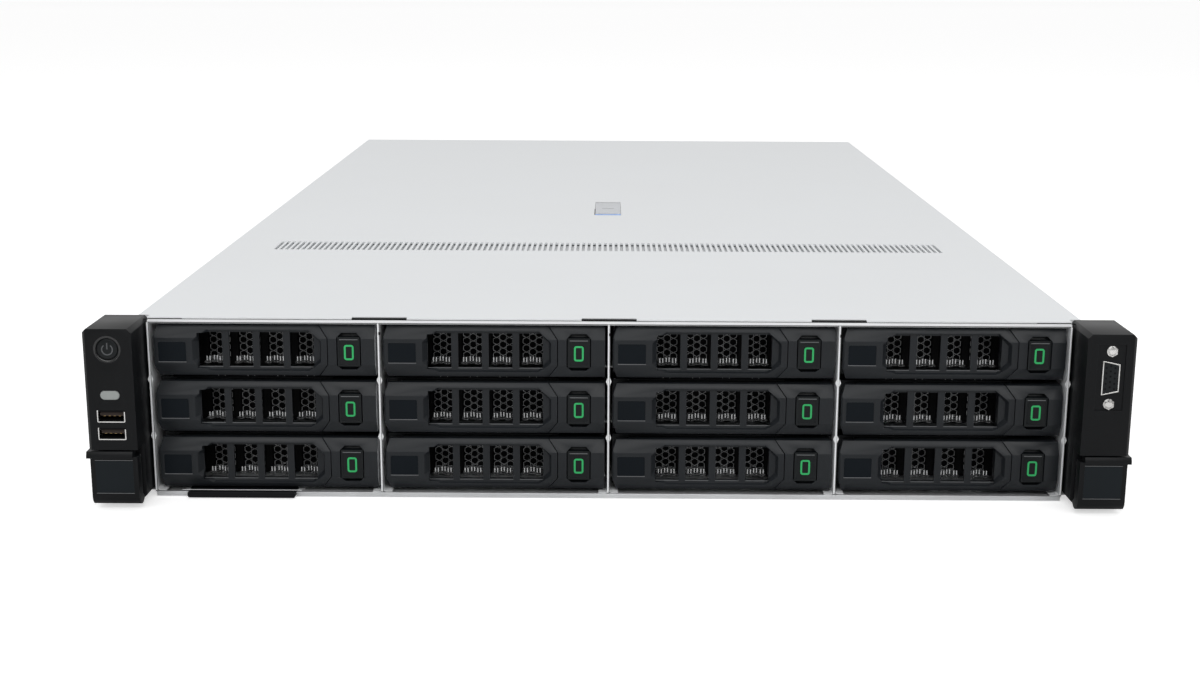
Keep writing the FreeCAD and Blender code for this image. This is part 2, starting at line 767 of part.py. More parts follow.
def rack_screws():
    """Captive screws of the two ears: thread, neck, stop and socket head."""
    screws = []
    for side in (-1, 1):
        x = side * rack_screw_x
        head_front = -block_front + 0.5
        head_back = -block_front + screw_head_depth
        thread = rod(x, 0, rack_screw_z, rack_screw_r, rack_screw_reach, Vector(0, 1, 0))
        neck = slab_xz(ring_of(x, rack_screw_z, screw_neck, 8), head_back, 0)
        stop = slab_xz(ring_of(x, rack_screw_z, screw_stop, 8), head_back, -block_front + seat_depth - 0.05)
        head = slab_xz(ring_of(x, rack_screw_z, screw_head, 16), head_front, head_back)
        socket = slab_xz(ring_of(x, rack_screw_z, socket_r, 6), head_front - over, head_front + socket_depth)
        screws.append(fuse([thread, neck, stop, without(head, [socket])]))
    return group(screws)


# ---------------------------------------------------------------- inside
def backplane():
    """Board behind the drives, with one connector and one air opening per bay."""
    back = backplane_front + board_sheet
    board = box(-cage_half, cage_half, backplane_front, back, sheet, cage_top - sheet_gap)
    drive_rear = bezel_front + drive_back + drive_length
    connectors = []
    vents = []
    for column in range(columns):
        for row in range(rows):
            x, front, z = bay_place(column, row)
            left = x + wall + drive_room + port_left + (port_width - connector_width) / 2.0
            low = z + drive_lift - drive_height / 2.0 + (port_height - connector_height) / 2.0
            connectors.append(box(left, left + connector_width, drive_rear - connector_mate, backplane_front,
                                  low, low + connector_height))
            vents.append(box(x + 8, x + carrier_width - 8, backplane_front - over, back + over,
                             z - 3, z + 10))
    return group([without(board, vents)] + connectors)


def fan_centre(i):
    return (i - (fan_count - 1) / 2.0) * fan_pitch, sheet + fan_lift + fan_size / 2.0


def fan_frame(i):
    """Square frame with its motor hub and axle on four arms."""
    x, z = fan_centre(i)
    half = fan_size / 2.0
    frame = box(x - half, x + half, fan_front, fan_back, z - half, z + half)
    bore = slab_xz(ring_round(x, z, fan_bore, fan_sides), fan_front - over, fan_back + over)
    hub = slab_xz(ring_of(x, z, fan_hub, hub_sides), fan_back - 6, fan_back)
    arm = box(x - 1.5, x + 1.5, fan_back - 4, fan_back, z + fan_hub - 2, z + fan_bore + 1)
    arms = []
    for k in range(4):
        turned = arm.copy()
        turned.rotate(Vector(x, 0, z), Vector(0, 1, 0), 45 + 90 * k)
        arms.append(turned)
    axle = flat_pin(x, fan_back - 28, z, axle_r, 24, Vector(0, 1, 0))
    return fuse([without(frame, [bore]), hub, axle] + arms)


def fan_wall():
    back = fan_front - sheet_gap
    plate = box(-wall_inner + 2 * sheet_gap, wall_inner - 2 * sheet_gap, back - sheet, back, sheet,
                cover_under - fan_lift)
    ports = []
    for i in range(fan_count):
        x, z = fan_centre(i)
        ports.append(slab_xz(ring_of(x, z, fan_bore + fan_rim / 2.0, 8), back - sheet - over, back + over))
    return group([without(plate, ports)] + [fan_frame(i) for i in range(fan_count)])


def impeller(i):
    """Hub with leaning blades, bored for the axle."""
    x, z = fan_centre(i)
    front = fan_front + 4
    back = fan_back - 8
    root = z + fan_hub - 2
    hub = slab_xz(ring_of(x, z, fan_hub, hub_sides), front, back)
    blade = slab_xy([(x - blade_lean, front + 2), (x - blade_lean + blade_sheet, front + 2),
                     (x + blade_lean, back - 2), (x + blade_lean - blade_sheet, back - 2)],
                    root, z + fan_bore - blade_gap)
    blades = []
    for k in range(blade_count):
        turned = blade.copy()
        turned.rotate(Vector(x, 0, z), Vector(0, 1, 0), 360.0 * k / blade_count)
        blades.append(turned)
    bore = slab_xz(ring_round(x, z, axle_r + pin_gap, 10), front + 4, back + over)
    return without(fuse([hub] + blades), [bore])


def heatsink(x, y):
    half = sink_size / 2.0
    foot = board_top + sink_base
    pitch = (sink_size - sink_fin) / (sink_fins - 1)
    base = box(x - half, x + half, y - half, y + half, foot, foot + sink_base)
    fins = [box(x - half + i * pitch, x - half + i * pitch + sink_fin, y - half, y + half,
                foot + sink_base, board_top + sink_height) for i in range(sink_fins)]
    return fuse([base] + fins)


def memory(x, y):
    """One memory socket and the module standing in it."""
    socket_half = dimm_length / 2.0 + 4
    half = dimm_length / 2.0
    socket = box(x - 3, x + 3, y - socket_half, y + socket_half, board_top, board_top + dimm_socket)
    module = box(x - 0.7, x + 0.7, y - half, y + half, board_top + dimm_socket, board_top + 4 + dimm_height)
    return [socket, module]


def motherboard():
    """Board on its standoffs, with two processors under heatsinks and their memory."""
    board = box(board_left, board_right, board_front, board_rear, board_lift, board_top)
    posts = []
    for x in (board_left + 8, board_right - 8):
        for y in (board_front + 8, (board_front + board_rear) / 2.0, board_rear - 8):
            posts.append(slab_xy(ring_of(x, y, 3.0, 6), sheet, board_lift))
    solids = []
    half = chip_socket / 2.0
    for x in sinks:
        solids.append(box(x - half, x + half, processor_y - half, processor_y + half, board_top,
                          board_top + sink_base))
        solids.append(heatsink(x, processor_y))
        for k in range(dimm_count):
            for side in (-1, 1):
                slot_x = x + side * (sink_size / 2.0 + 6 + k * dimm_pitch)
                if slot_x + 4 < board_right:
                    solids.extend(memory(slot_x, processor_y))
    hub_x = board_right - 83
    solids.append(box(hub_x - 15, hub_x + 15, board_rear - 205, board_rear - 175, board_top, board_top + 12))
    return group([fuse([board] + posts)] + solids)


def air_shroud():
    """Moulded duct over the processors, lower at the front where it meets the fans."""
    front = fan_back + shroud_gap
    back = processor_y + shroud_back
    knee = front + shroud_slope
    low = cover_under - shroud_drop
    high = low + shroud_rise
    left = board_left + 1
    right = board_right - 2
    roof = slab_yz([(front, low), (knee, high), (back, high), (back, high - shroud_wall),
                    (knee + 1, high - shroud_wall), (front, low - shroud_wall)], left, right + shroud_wall)
    side = [(front, board_top), (front, low), (knee, high), (back, high), (back, board_top)]
    spine_x = (sinks[0] + sinks[1]) / 2.0 - 1
    walls = [slab_yz(side, x, x + shroud_wall) for x in (left, spine_x, right)]
    return fuse([roof] + walls)


# ---------------------------------------------------------------- power supplies and rear
def psu_floor(i):
    return psu_bottom + i * (psu_height + psu_gap)


def power_supply(i):
    """Slide-in supply with its fan grille, mains inlet, release tab and handle."""
    low = psu_floor(i)
    middle = low + psu_height / 2.0
    case = box(psu_left, psu_right, psu_front, psu_back, low, low + psu_height)
    fan_x = psu_left + 22
    first = middle - (grille_slots - 1) * grille_pitch / 2.0 - grille_slot / 2.0
    grille = [box(fan_x - grille_width / 2.0, fan_x + grille_width / 2.0, psu_back - 3, psu_back + over,
                  first + k * grille_pitch, first + k * grille_pitch + grille_slot)
              for k in range(grille_slots)]
    inlet_right = psu_right - inlet_edge
    inlet_left = inlet_right - inlet_width
    inlet = box(inlet_left, inlet_right, psu_back - inlet_depth, psu_back + over, middle - 16,
                middle - 16 + inlet_height)
    blade_x = (inlet_left + inlet_right) / 2.0
    blades = [box(blade_x + dx - 1, blade_x + dx + 1, psu_back - inlet_depth - 0.5, psu_back - 3,
                  middle - 9, middle - 5) for dx in (-7, 0, 7)]
    grip_back = psu_back + psu_handle
    loop = box(psu_right - 30, psu_right - 2, psu_back, grip_back, middle + 8, middle + 14)
    loop_gap = box(psu_right - 27, psu_right - 5, psu_back - over, grip_back - psu_handle_bar,
                   middle + 8 - over, middle + 14 + over)
    tab = box(psu_left + 4, psu_left + 16, psu_back, psu_back + 12, low + 2, low + 4)
    edge = box(psu_left + 10, psu_right - 20, psu_front - 8, psu_front, middle - 1, middle + 1)
    shell = without(case, grille + [inlet])
    return fuse([shell, tab, edge, loop.cut(loop_gap)] + blades)


def rear_panel():
    """Rear sheet with its card slots and sockets, and the wall of the power supply bay."""
    right = psu_left - 0.5
    front = body_rear - sheet
    plate = box(-wall_inner, right, front, body_rear, sheet, cover_under)
    bay_wall = box(right - sheet, right, psu_front - 12, front, sheet, cover_under)
    shelf_z = psu_floor(1) - psu_gap / 2.0
    shelf = box(right, right + 8, psu_front - 10, front, shelf_z - 0.3, shelf_z + 0.3)
    cuts = []
    covers = []
    for riser in range(riser_count):
        x = -wall_inner + riser_margin + riser * riser_pitch
        for k in range(riser_slots):
            z = riser_bottom + k * riser_slot_pitch
            top = z + riser_slot_pitch - riser_web
            cuts.append(box(x, x + riser_width, front - over, body_rear + over, z, top))
            covers.append(box(x - 1, x + riser_width + 1, front - 1, front, z - 1, top + 1))
    sockets = []
    port_left_x = -wall_inner + 21
    for offset, width, height in ((0, 14, 10.5), (20, 14, 10.5), (80, 14, 10.5), (100, 13, 6), (120, 13, 6)):
        x = port_left_x + offset
        cuts.append(box(x, x + width, front - over, body_rear + over, port_bottom, port_bottom + height))
        jack = box(x - 1, x + width + 1, front - 18, front, board_top, port_bottom + height + 1)
        mouth = box(x + 1, x + width - 1, front - 14, front + over, port_bottom + 1, port_bottom + height - 1)
        sockets.append(without(jack, [mouth]))
    return group([without(plate, cuts), fuse([bay_wall, shelf])] + covers + sockets)


# ---------------------------------------------------------------- cover
def top_cover():
    """Cover sheet with its vents and front notches, and the latch's well with its pin."""
    half = body_width / 2.0
    past = body_height + over
    hem_low = cover_under - cover_hem
    section = [(-half, hem_low), (-half + sheet, hem_low), (-half + sheet, cover_under),
               (half - sheet, cover_under), (half - sheet, hem_low), (half, hem_low), (half, body_height),
               (-half, body_height)]
    sheet_metal = slab_xz(section, sheet_gap + 2 * sheet_gap, body_rear)
    apron = box(-ear_inner + 0.5, ear_inner - 0.5, -cover_front, over, cover_under, body_height)
    vent_width = vent_pitch - vent_web
    first = -half + vent_margin - 0.5
    slots = [box(first + i * vent_pitch, first + i * vent_pitch + vent_width, vent_front,
                 vent_front + vent_length, cover_under - over, past) for i in range(vent_slots)]
    notches = [box(x - notch_width / 2.0, x + notch_width / 2.0, -cover_front - over,
                   -cover_front + notch_depth, 0, past) for x in (-bay_pitch, 0, bay_pitch)]
    latch_hole = box(latch_left - latch_play, latch_right + latch_play, latch_front - latch_play,
                     latch_back + latch_play, cover_under - latch_well, past)
    cover = without(fuse([sheet_metal, apron]), notches + [latch_hole] + slots)
    tray = box(latch_left - latch_flange, latch_right + latch_flange, latch_front - latch_flange,
               latch_back + latch_flange, cover_under - latch_well - wall, cover_under)
    pin = flat_pin(latch_left - latch_play, latch_pivot(), latch_axis_height, cover_pin,
                   latch_width + 2 * latch_play, Vector(1, 0, 0))
    return group([cover, fuse([without(tray, [latch_hole]), pin])])


def latch_pivot():
    return latch_back - latch_plate - 1


def cover_latch():
    """Flush handle that lifts about a pin at its rear end."""
    plate = box(latch_left, latch_right, latch_front, latch_pivot(), latch_axis_height, body_height)
    knuckle = slab_yz(ring_of(latch_pivot(), latch_axis_height, latch_plate, 16), latch_left, latch_right)
    dip = box(latch_left + 2, latch_right - 2, latch_front - over, latch_front + 9,
              body_height - finger_dip, body_height + over)
    hole = slab_yz(ring_round(latch_pivot(), latch_axis_height, cover_pin + pin_gap, 8), latch_left - over,
                   latch_right + over)
    return without(fuse([plate, knuckle]), [dip, hole])


# ---------------------------------------------------------------- write every node
save("chassis_base", chassis_base())
save("drive_cage", drive_cage())
lever_shape = lever()
carrier_shape = carrier()
button_shape = release_button()
for row in range(rows):
    for column in range(columns):
        place = bay_place(column, row)
        bay = "_r%dc%d" % (row + 1, column + 1)
        save("carrier" + bay, moved(carrier_shape, *place))
        save("lever" + bay, moved(lever_shape, *place))
        save("release" + bay, moved(button_shape, *place))
save("left_ear", left_ear())
save("right_ear", right_ear())
save("left_latch", mirror(ear_latch()))
save("right_latch", ear_latch())
save("power_button", power_button())
save("status_button", status_button())
save("front_ports", front_ports())
save("info_tag", info_tag())
save("rack_screws", rack_screws())
save("backplane", backplane())
save("fan_wall", fan_wall())
for i in range(fan_count):
    save("impeller_%d" % (i + 1), impeller(i))
save("motherboard", motherboard())
save("air_shroud", air_shroud())
for i in range(psu_count):
    save("power_supply_%d" % (i + 1), power_supply(i))
save("rear_panel", rear_panel())
save("top_cover", top_cover())
save("cover_latch", cover_latch())
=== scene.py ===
# %% [markdown]
# # A 2U rack server with twelve hot-swap drives
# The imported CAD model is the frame: its nodes give every size and place, in metres, +Z up.
# This lesson dresses that frame. Most sheet-metal and moulded parts are copies of the CAD
# solids, cleaned up and given softened edges, because a real edge always catches a thin line
# of light. What the solids leave out, such as the honeycomb screens, is modelled here.

# %% Load the frame
import bpy
import bmesh
import json
import math
from mathutils import Matrix, Vector


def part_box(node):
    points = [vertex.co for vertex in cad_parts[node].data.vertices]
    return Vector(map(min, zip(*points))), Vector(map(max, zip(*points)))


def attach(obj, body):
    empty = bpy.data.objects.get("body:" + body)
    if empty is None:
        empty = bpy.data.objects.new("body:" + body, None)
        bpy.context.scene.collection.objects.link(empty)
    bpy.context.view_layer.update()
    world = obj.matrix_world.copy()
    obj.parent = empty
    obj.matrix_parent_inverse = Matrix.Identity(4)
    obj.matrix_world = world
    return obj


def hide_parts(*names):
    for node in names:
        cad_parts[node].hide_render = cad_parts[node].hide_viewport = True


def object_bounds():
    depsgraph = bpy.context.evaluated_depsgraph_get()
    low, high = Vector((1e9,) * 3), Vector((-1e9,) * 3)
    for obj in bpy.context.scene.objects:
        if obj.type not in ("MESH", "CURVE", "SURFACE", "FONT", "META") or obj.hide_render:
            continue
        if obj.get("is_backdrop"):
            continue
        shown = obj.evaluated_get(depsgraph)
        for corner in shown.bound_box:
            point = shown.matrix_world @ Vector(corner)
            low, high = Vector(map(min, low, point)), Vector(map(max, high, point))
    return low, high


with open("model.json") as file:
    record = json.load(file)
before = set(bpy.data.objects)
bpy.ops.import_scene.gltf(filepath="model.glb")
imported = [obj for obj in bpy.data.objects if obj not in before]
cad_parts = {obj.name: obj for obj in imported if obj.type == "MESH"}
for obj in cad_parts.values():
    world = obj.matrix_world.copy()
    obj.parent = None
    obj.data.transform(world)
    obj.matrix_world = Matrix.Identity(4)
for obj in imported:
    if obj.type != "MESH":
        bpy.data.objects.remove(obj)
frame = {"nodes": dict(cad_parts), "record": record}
cad_low, cad_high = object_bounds()
mm = 0.001
bays = [(row, column) for row in (1, 2, 3) for column in (1, 2, 3, 4)]
body_of = {node: name for name, nodes in frame["record"]["behaviour"]["bodies"].items() for node in nodes}

# %% [markdown]
# ## Camera
# A camera is placed by its position and three axes: right, up and backwards. The view here
# looks slightly down on the front of the server from about three quarters of a metre away.

# %% Camera
def place_camera(position, yaw, pitch, roll, lens):
    forward = Vector((math.sin(yaw) * math.cos(pitch), math.cos(yaw) * math.cos(pitch), -math.sin(pitch)))
    right = Vector((math.cos(yaw), -math.sin(yaw), 0.0))
    up = right.cross(forward)
    right_rolled = right * math.cos(roll) + up * math.sin(roll)
    up_rolled = up * math.cos(roll) - right * math.sin(roll)
    turn = Matrix((right_rolled, up_rolled, -forward)).transposed().to_4x4()
    data = bpy.data.cameras.new("front_camera")
    data.lens = lens
    data.sensor_width = 36.0
    data.clip_start = 0.01
    data.clip_end = 50.0
    camera = bpy.data.objects.new("front_camera", data)
    camera.matrix_world = Matrix.Translation(position) @ turn
    bpy.context.scene.collection.objects.link(camera)
    bpy.context.scene.camera = camera
    return camera


camera = place_camera(Vector((-1.6, -762.4, 253.2)) * mm, -0.0035, 0.2263, 0.0048, 49.36)
print("camera at", [round(v, 3) for v in camera.location])

# %% [markdown]
# ## Stage and light
# The floor is plain and pale. The world is white to the camera. To reflections it is white
# behind and above the server and dim on the camera's side, as a studio is, so the dark
# drive fronts stay dark while the sheet metal stays bright. A long lamp above the front
# puts the lines of light on the slanted edges.

# %% World
def maths(nodes, operation, first, second=None):
    node = nodes.new("ShaderNodeMath")
    node.operation = operation
    for socket, value in zip(node.inputs, (first, second)):
        if isinstance(value, (int, float)):
            socket.default_value = value
        elif value is not None:
            nodes.id_data.links.new(value, socket)
    return node.outputs[0]


def background(nodes, colour, strength):
    node = nodes.new("ShaderNodeBackground")
    node.inputs["Color"].default_value = (*colour, 1.0)
    node.inputs["Strength"].default_value = strength
    return node


def studio_world(light_level, front_level):
    world = bpy.data.worlds.new("studio")
    bpy.context.scene.world = world
    world.use_nodes = True
    nodes = world.node_tree.nodes
    links = world.node_tree.links
    nodes.clear()
    path = nodes.new("ShaderNodeLightPath")
    mirrored = maths(nodes, "MAXIMUM", path.outputs["Is Glossy Ray"], path.outputs["Is Transmission Ray"])
    direction = nodes.new("ShaderNodeTexCoord")
    split = nodes.new("ShaderNodeSeparateXYZ")
    links.new(direction.outputs["Generated"], split.inputs[0])
    side = nodes.new("ShaderNodeMapRange")
    side.inputs["From Min"].default_value = -0.75
    side.inputs["From Max"].default_value = 0.1
    side.inputs["To Min"].default_value = front_level
    side.inputs["To Max"].default_value = 1.0
    lifted = maths(nodes, "MULTIPLY", split.outputs["Z"], 0.35)
    links.new(maths(nodes, "ADD", split.outputs["Y"], lifted), side.inputs["Value"])
    seen = background(nodes, (1.0, 1.0, 1.0), 1.0)
    lit = background(nodes, (1.0, 1.0, 1.0), light_level)
    reflected = background(nodes, (1.0, 1.0, 1.0), 1.0)
    links.new(side.outputs["Result"], reflected.inputs["Strength"])
    inner = nodes.new("ShaderNodeMixShader")
    links.new(mirrored, inner.inputs[0])
    links.new(lit.outputs[0], inner.inputs[1])
    links.new(reflected.outputs[0], inner.inputs[2])
    outer = nodes.new("ShaderNodeMixShader")
    links.new(path.outputs["Is Camera Ray"], outer.inputs[0])
    links.new(inner.outputs[0], outer.inputs[1])
    links.new(seen.outputs[0], outer.inputs[2])
    output = nodes.new("ShaderNodeOutputWorld")
    links.new(outer.outputs[0], output.inputs["Surface"])


studio_world(0.47, 0.2)
print("world ready")

# %% Lamps and floor
def soft_box(name, place, target, width, height, power):
    data = bpy.data.lights.new(name, "AREA")
    data.shape = "RECTANGLE"
    data.size = width
    data.size_y = height
    data.energy = power
    lamp = bpy.data.objects.new(name, data)
    lamp.location = place
    lamp.rotation_euler = (Vector(target) - Vector(place)).to_track_quat("-Z", "Y").to_euler()
    bpy.context.scene.collection.objects.link(lamp)


def pale_floor(size, glow_level):
    bm = bmesh.new()
    bmesh.ops.create_grid(bm, x_segments=1, y_segments=1, size=size)
    bmesh.ops.translate(bm, verts=bm.verts, vec=(0.0, 0.3, cad_low[2] - 0.0004))
    mesh = bpy.data.meshes.new("floor")
    bm.to_mesh(mesh)
    bm.free()
    floor = bpy.data.objects.new("floor", mesh)
    bpy.context.scene.collection.objects.link(floor)
    floor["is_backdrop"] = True
    paint = bpy.data.materials.new("floor_paint")
    paint.use_nodes = True
    nodes = paint.node_tree.nodes
    links = paint.node_tree.links
    shader = nodes["Principled BSDF"]
    shader.inputs["Base Color"].default_value = (0.88, 0.88, 0.88, 1.0)
    shader.inputs["Roughness"].default_value = 0.9
    shader.inputs["Specular IOR Level"].default_value = 0.1
    path = nodes.new("ShaderNodeLightPath")
    glow = nodes.new("ShaderNodeEmission")
    glow.inputs["Strength"].default_value = glow_level
    add = nodes.new("ShaderNodeAddShader")
    plain = nodes.new("ShaderNodeMixShader")
    links.new(shader.outputs[0], add.inputs[0])
    links.new(glow.outputs[0], add.inputs[1])
    links.new(path.outputs["Is Camera Ray"], plain.inputs[0])
    links.new(shader.outputs[0], plain.inputs[1])
    links.new(add.outputs[0], plain.inputs[2])
    links.new(plain.outputs[0], nodes["Material Output"].inputs["Surface"])
    mesh.materials.append(paint)


bpy.context.scene.view_settings.view_transform = "Standard"
pale_floor(12.0, 0.54)
soft_box("front_strip", (0.0, -1.5, 1.2), (0.0, 0.0, 0.05), 2.6, 0.8, 21.0)
soft_box("overhead_panel", (0.0, 0.5, 1.9), (0.0, 0.35, 0.0), 2.4, 1.4, 6.0)
print("lamps:", len(bpy.data.lights))

# %% [markdown]
# ## Finishes
# Effects that several finishes share are node groups: a fine moulded grain with slow blotches
# of handling, and a mask that is bright along edges. Each material places them with its own
# values, and keeps its own Principled shader.

# %% Shared effects
def new_group(name, inputs, outputs):
    tree = bpy.data.node_groups.new(name, "ShaderNodeTree")
    for label, value in inputs:
        socket = tree.interface.new_socket(name=label, in_out="INPUT", socket_type="NodeSocketFloat")
        socket.default_value = value
    for label in outputs:
        tree.interface.new_socket(name=label, in_out="OUTPUT", socket_type="NodeSocketFloat")
    return tree, tree.nodes.new("NodeGroupInput"), tree.nodes.new("NodeGroupOutput")


def grain_group():
    """Fine even grain, as spark-eroded moulds leave on plastic, and slow blotches."""
    tree, given, out = new_group("moulded_grain", [("Scale", 900.0), ("Blotch Scale", 28.0)],
                                 ["Height", "Mottle"])
    place = tree.nodes.new("ShaderNodeTexCoord")
    fine = tree.nodes.new("ShaderNodeTexNoise")
    slow = tree.nodes.new("ShaderNodeTexNoise")
    slow.inputs["Detail"].default_value = 4.0
    spread = tree.nodes.new("ShaderNodeMapRange")
    spread.inputs["From Min"].default_value = 0.35
    spread.inputs["From Max"].default_value = 0.65
    links = tree.links
    links.new(place.outputs["Object"], fine.inputs["Vector"])
    links.new(place.outputs["Object"], slow.inputs["Vector"])
    links.new(given.outputs["Scale"], fine.inputs["Scale"])
    links.new(given.outputs["Blotch Scale"], slow.inputs["Scale"])
    links.new(slow.outputs["Fac"], spread.inputs["Value"])
    links.new(fine.outputs["Fac"], out.inputs["Height"])
    links.new(spread.outputs["Result"], out.inputs["Mottle"])
    return tree


def edge_group():
    """Mask that is bright where the surface turns sharply, found with a rounded copy of the normal."""
    tree, given, out = new_group("edge_mask", [("Reach", 0.0005), ("Sharpness", 4.0)], ["Mask"])
    round_normal = tree.nodes.new("ShaderNodeBevel")
    round_normal.samples = 4
    real = tree.nodes.new("ShaderNodeNewGeometry")
    dot = tree.nodes.new("ShaderNodeVectorMath")
    dot.operation = "DOT_PRODUCT"
    links = tree.links
    links.new(given.outputs["Reach"], round_normal.inputs["Radius"])
    links.new(round_normal.outputs["Normal"], dot.inputs[0])
    links.new(real.outputs["Normal"], dot.inputs[1])
    turned = maths(tree.nodes, "SUBTRACT", 1.0, dot.outputs["Value"])
    gain = maths(tree.nodes, "MULTIPLY", turned, given.outputs["Sharpness"])
    gain.node.use_clamp = True
    links.new(gain, out.inputs["Mask"])
    return tree


grain_tree = grain_group()
edge_tree = edge_group()
print("groups:", grain_tree.name, edge_tree.name)

# %% Materials
def solid_finish(name, colour, edge_highlight, rough, slot, metallic=0.0, grain=900.0, blotch=28.0, bump=0.04,
                 edges=0.35, specular=0.25, vary=0.1):
    """Plastic or metal with slow colour variation, edges painted lighter as a highlight, and a fine grain."""
    material = bpy.data.materials.new(name)
    material["slot"] = slot
    material.use_nodes = True
    nodes = material.node_tree.nodes
    links = material.node_tree.links
    shader = nodes["Principled BSDF"]
    texture = nodes.new("ShaderNodeGroup")
    texture.node_tree = grain_tree
    texture.inputs["Scale"].default_value = grain
    texture.inputs["Blotch Scale"].default_value = blotch
    edge = nodes.new("ShaderNodeGroup")
    edge.node_tree = edge_tree
    edge.inputs["Sharpness"].default_value = edges * 4.0
    body = nodes.new("ShaderNodeMix")
    body.data_type = "RGBA"
    body.inputs[6].default_value = (*(c * (1.0 - vary) for c in colour), 1.0)
    body.inputs[7].default_value = (*(min(1.0, c * (1.0 + vary)) for c in colour), 1.0)
    links.new(texture.outputs["Mottle"], body.inputs[0])
    # Painted highlight: the colour turns lighter where the edge mask is bright.
    rim = nodes.new("ShaderNodeMix")
    rim.data_type = "RGBA"
    rim.inputs[7].default_value = (*edge_highlight, 1.0)
    links.new(edge.outputs["Mask"], rim.inputs[0])
    links.new(body.outputs[2], rim.inputs[6])
    links.new(rim.outputs[2], shader.inputs["Base Color"])
    gloss = nodes.new("ShaderNodeMapRange")
    gloss.inputs["To Min"].default_value = rough[0]
    gloss.inputs["To Max"].default_value = rough[1]
    links.new(texture.outputs["Mottle"], gloss.inputs["Value"])
    links.new(gloss.outputs["Result"], shader.inputs["Roughness"])
    relief = nodes.new("ShaderNodeBump")
    relief.inputs["Strength"].default_value = bump
    relief.inputs["Distance"].default_value = 0.0002
    links.new(texture.outputs["Height"], relief.inputs["Height"])
    links.new(relief.outputs["Normal"], shader.inputs["Normal"])
    shader.inputs["Metallic"].default_value = metallic
    shader.inputs["Specular IOR Level"].default_value = specular
    return material


cover_zinc = solid_finish("cover_zinc", (0.80, 0.818, 0.832), (0.88, 0.89, 0.90), (0.42, 0.5), "zinc_steel",
                          metallic=0.25, grain=420.0, blotch=9.0, bump=0.02, edges=0.5, vary=0.012)
bright_zinc = solid_finish("bright_zinc", (0.68, 0.69, 0.70), (0.86, 0.87, 0.88), (0.3, 0.42), "zinc_steel",
                           metallic=0.55, grain=500.0, bump=0.04, edges=0.6, vary=0.05)
# lit_edge is zinc steel painted lighter than bright_zinc: a painted highlight for lips, rims and edges.
lit_edge = solid_finish("lit_edge", (0.80, 0.81, 0.82), (0.9, 0.9, 0.9), (0.35, 0.45), "zinc_steel",
                        metallic=0.1, grain=500.0, bump=0.02, edges=0.2, vary=0.02)
carrier_black = solid_finish("carrier_black", (0.0105, 0.0125, 0.0150), (0.045, 0.049, 0.055), (0.40, 0.48),
                             "carrier_plastic", bump=0.05, edges=0.3, specular=0.3)
ear_black = solid_finish("ear_black", (0.0042, 0.0047, 0.0055), (0.03, 0.032, 0.035), (0.42, 0.5),
                         "black_plastic", bump=0.05, edges=0.3, specular=0.18)
ring_black = solid_finish("ring_black", (0.010, 0.0105, 0.011), (0.08, 0.08, 0.085), (0.2, 0.28),
                          "black_plastic", bump=0.02, edges=0.4, specular=0.6)
panel_black = solid_finish("panel_black", (0.0045, 0.0075, 0.0100), (0.012, 0.015, 0.018), (0.4, 0.48),
                           "black_plastic", bump=0.04, edges=0.1, specular=0.2)
field_black = solid_finish("field_black", (0.0035, 0.0058, 0.0085), (0.008, 0.012, 0.016), (0.34, 0.42),
                           "carrier_plastic", bump=0.02, edges=0.1, specular=0.12)
button_black = solid_finish("button_black", (0.0050, 0.0066, 0.0076), (0.025, 0.028, 0.03), (0.36, 0.44),
                            "black_plastic", bump=0.03, edges=0.3)
deep_black = solid_finish("deep_black", (0.004, 0.004, 0.0045), (0.01, 0.01, 0.011), (0.6, 0.7),
                          "black_plastic", bump=0.05, edges=0.1, specular=0.1)
line_grey = solid_finish("line_grey", (0.13, 0.135, 0.14), (0.2, 0.2, 0.2), (0.4, 0.5), "carrier_plastic",
                         edges=0.1)
mark_green = solid_finish("mark_green", (0.035, 0.42, 0.13), (0.05, 0.5, 0.16), (0.4, 0.5), "black_plastic",
                          edges=0.1)
mark_grey = solid_finish("mark_grey", (0.10, 0.105, 0.11), (0.14, 0.14, 0.15), (0.45, 0.55), "black_plastic",
                         edges=0.1)
pill_grey = solid_finish("pill_grey", (0.30, 0.32, 0.31), (0.36, 0.38, 0.37), (0.32, 0.4), "grey_lens",
                         edges=0.1)
stripe_blue = solid_finish("stripe_blue", (0.24, 0.42, 0.82), (0.4, 0.55, 0.85), (0.35, 0.45), "pale_plastic",
                           edges=0.1)
latch_grey = solid_finish("latch_grey", (0.60, 0.62, 0.65), (0.8, 0.81, 0.83), (0.35, 0.45), "pale_plastic",
                          edges=0.5, vary=0.04)
chrome = solid_finish("chrome", (0.80, 0.79, 0.77), (0.9, 0.9, 0.9), (0.14, 0.24), "bright_metal",
                      metallic=1.0, grain=700.0, bump=0.02, edges=0.3)
gold_pin = solid_finish("gold_pin", (0.62, 0.42, 0.17), (0.7, 0.5, 0.25), (0.25, 0.35), "bright_metal",
                        metallic=1.0)
tongue_brown = solid_finish("tongue_brown", (0.030, 0.020, 0.016), (0.05, 0.04, 0.035), (0.4, 0.5),
                            "black_plastic")
screen_steel = solid_finish("screen_steel", (0.27, 0.28, 0.285), (0.5, 0.5, 0.5), (0.35, 0.45), "zinc_steel",
                            metallic=0.25, edges=0.6)
glint_steel = solid_finish("glint_steel", (0.62, 0.63, 0.64), (0.9, 0.9, 0.9), (0.18, 0.28), "zinc_steel",
                           metallic=0.9, edges=0.6)
vent_grey = solid_finish("vent_grey", (0.62, 0.63, 0.64), (0.7, 0.7, 0.7), (0.4, 0.5), "zinc_steel",
                         metallic=0.1, edges=0.1, vary=0.03)
drive_alloy = solid_finish("drive_alloy", (0.30, 0.31, 0.32), (0.45, 0.45, 0.46), (0.35, 0.5), "zinc_steel",
                           metallic=0.8)
board_green = solid_finish("board_green", (0.012, 0.08, 0.035), (0.03, 0.14, 0.06), (0.3, 0.4),
                           "circuit_board", bump=0.02)
psu_zinc = solid_finish("psu_zinc", (0.50, 0.51, 0.52), (0.7, 0.7, 0.7), (0.3, 0.42), "psu_metal",
                        metallic=0.7)
print("materials:", len(bpy.data.materials))

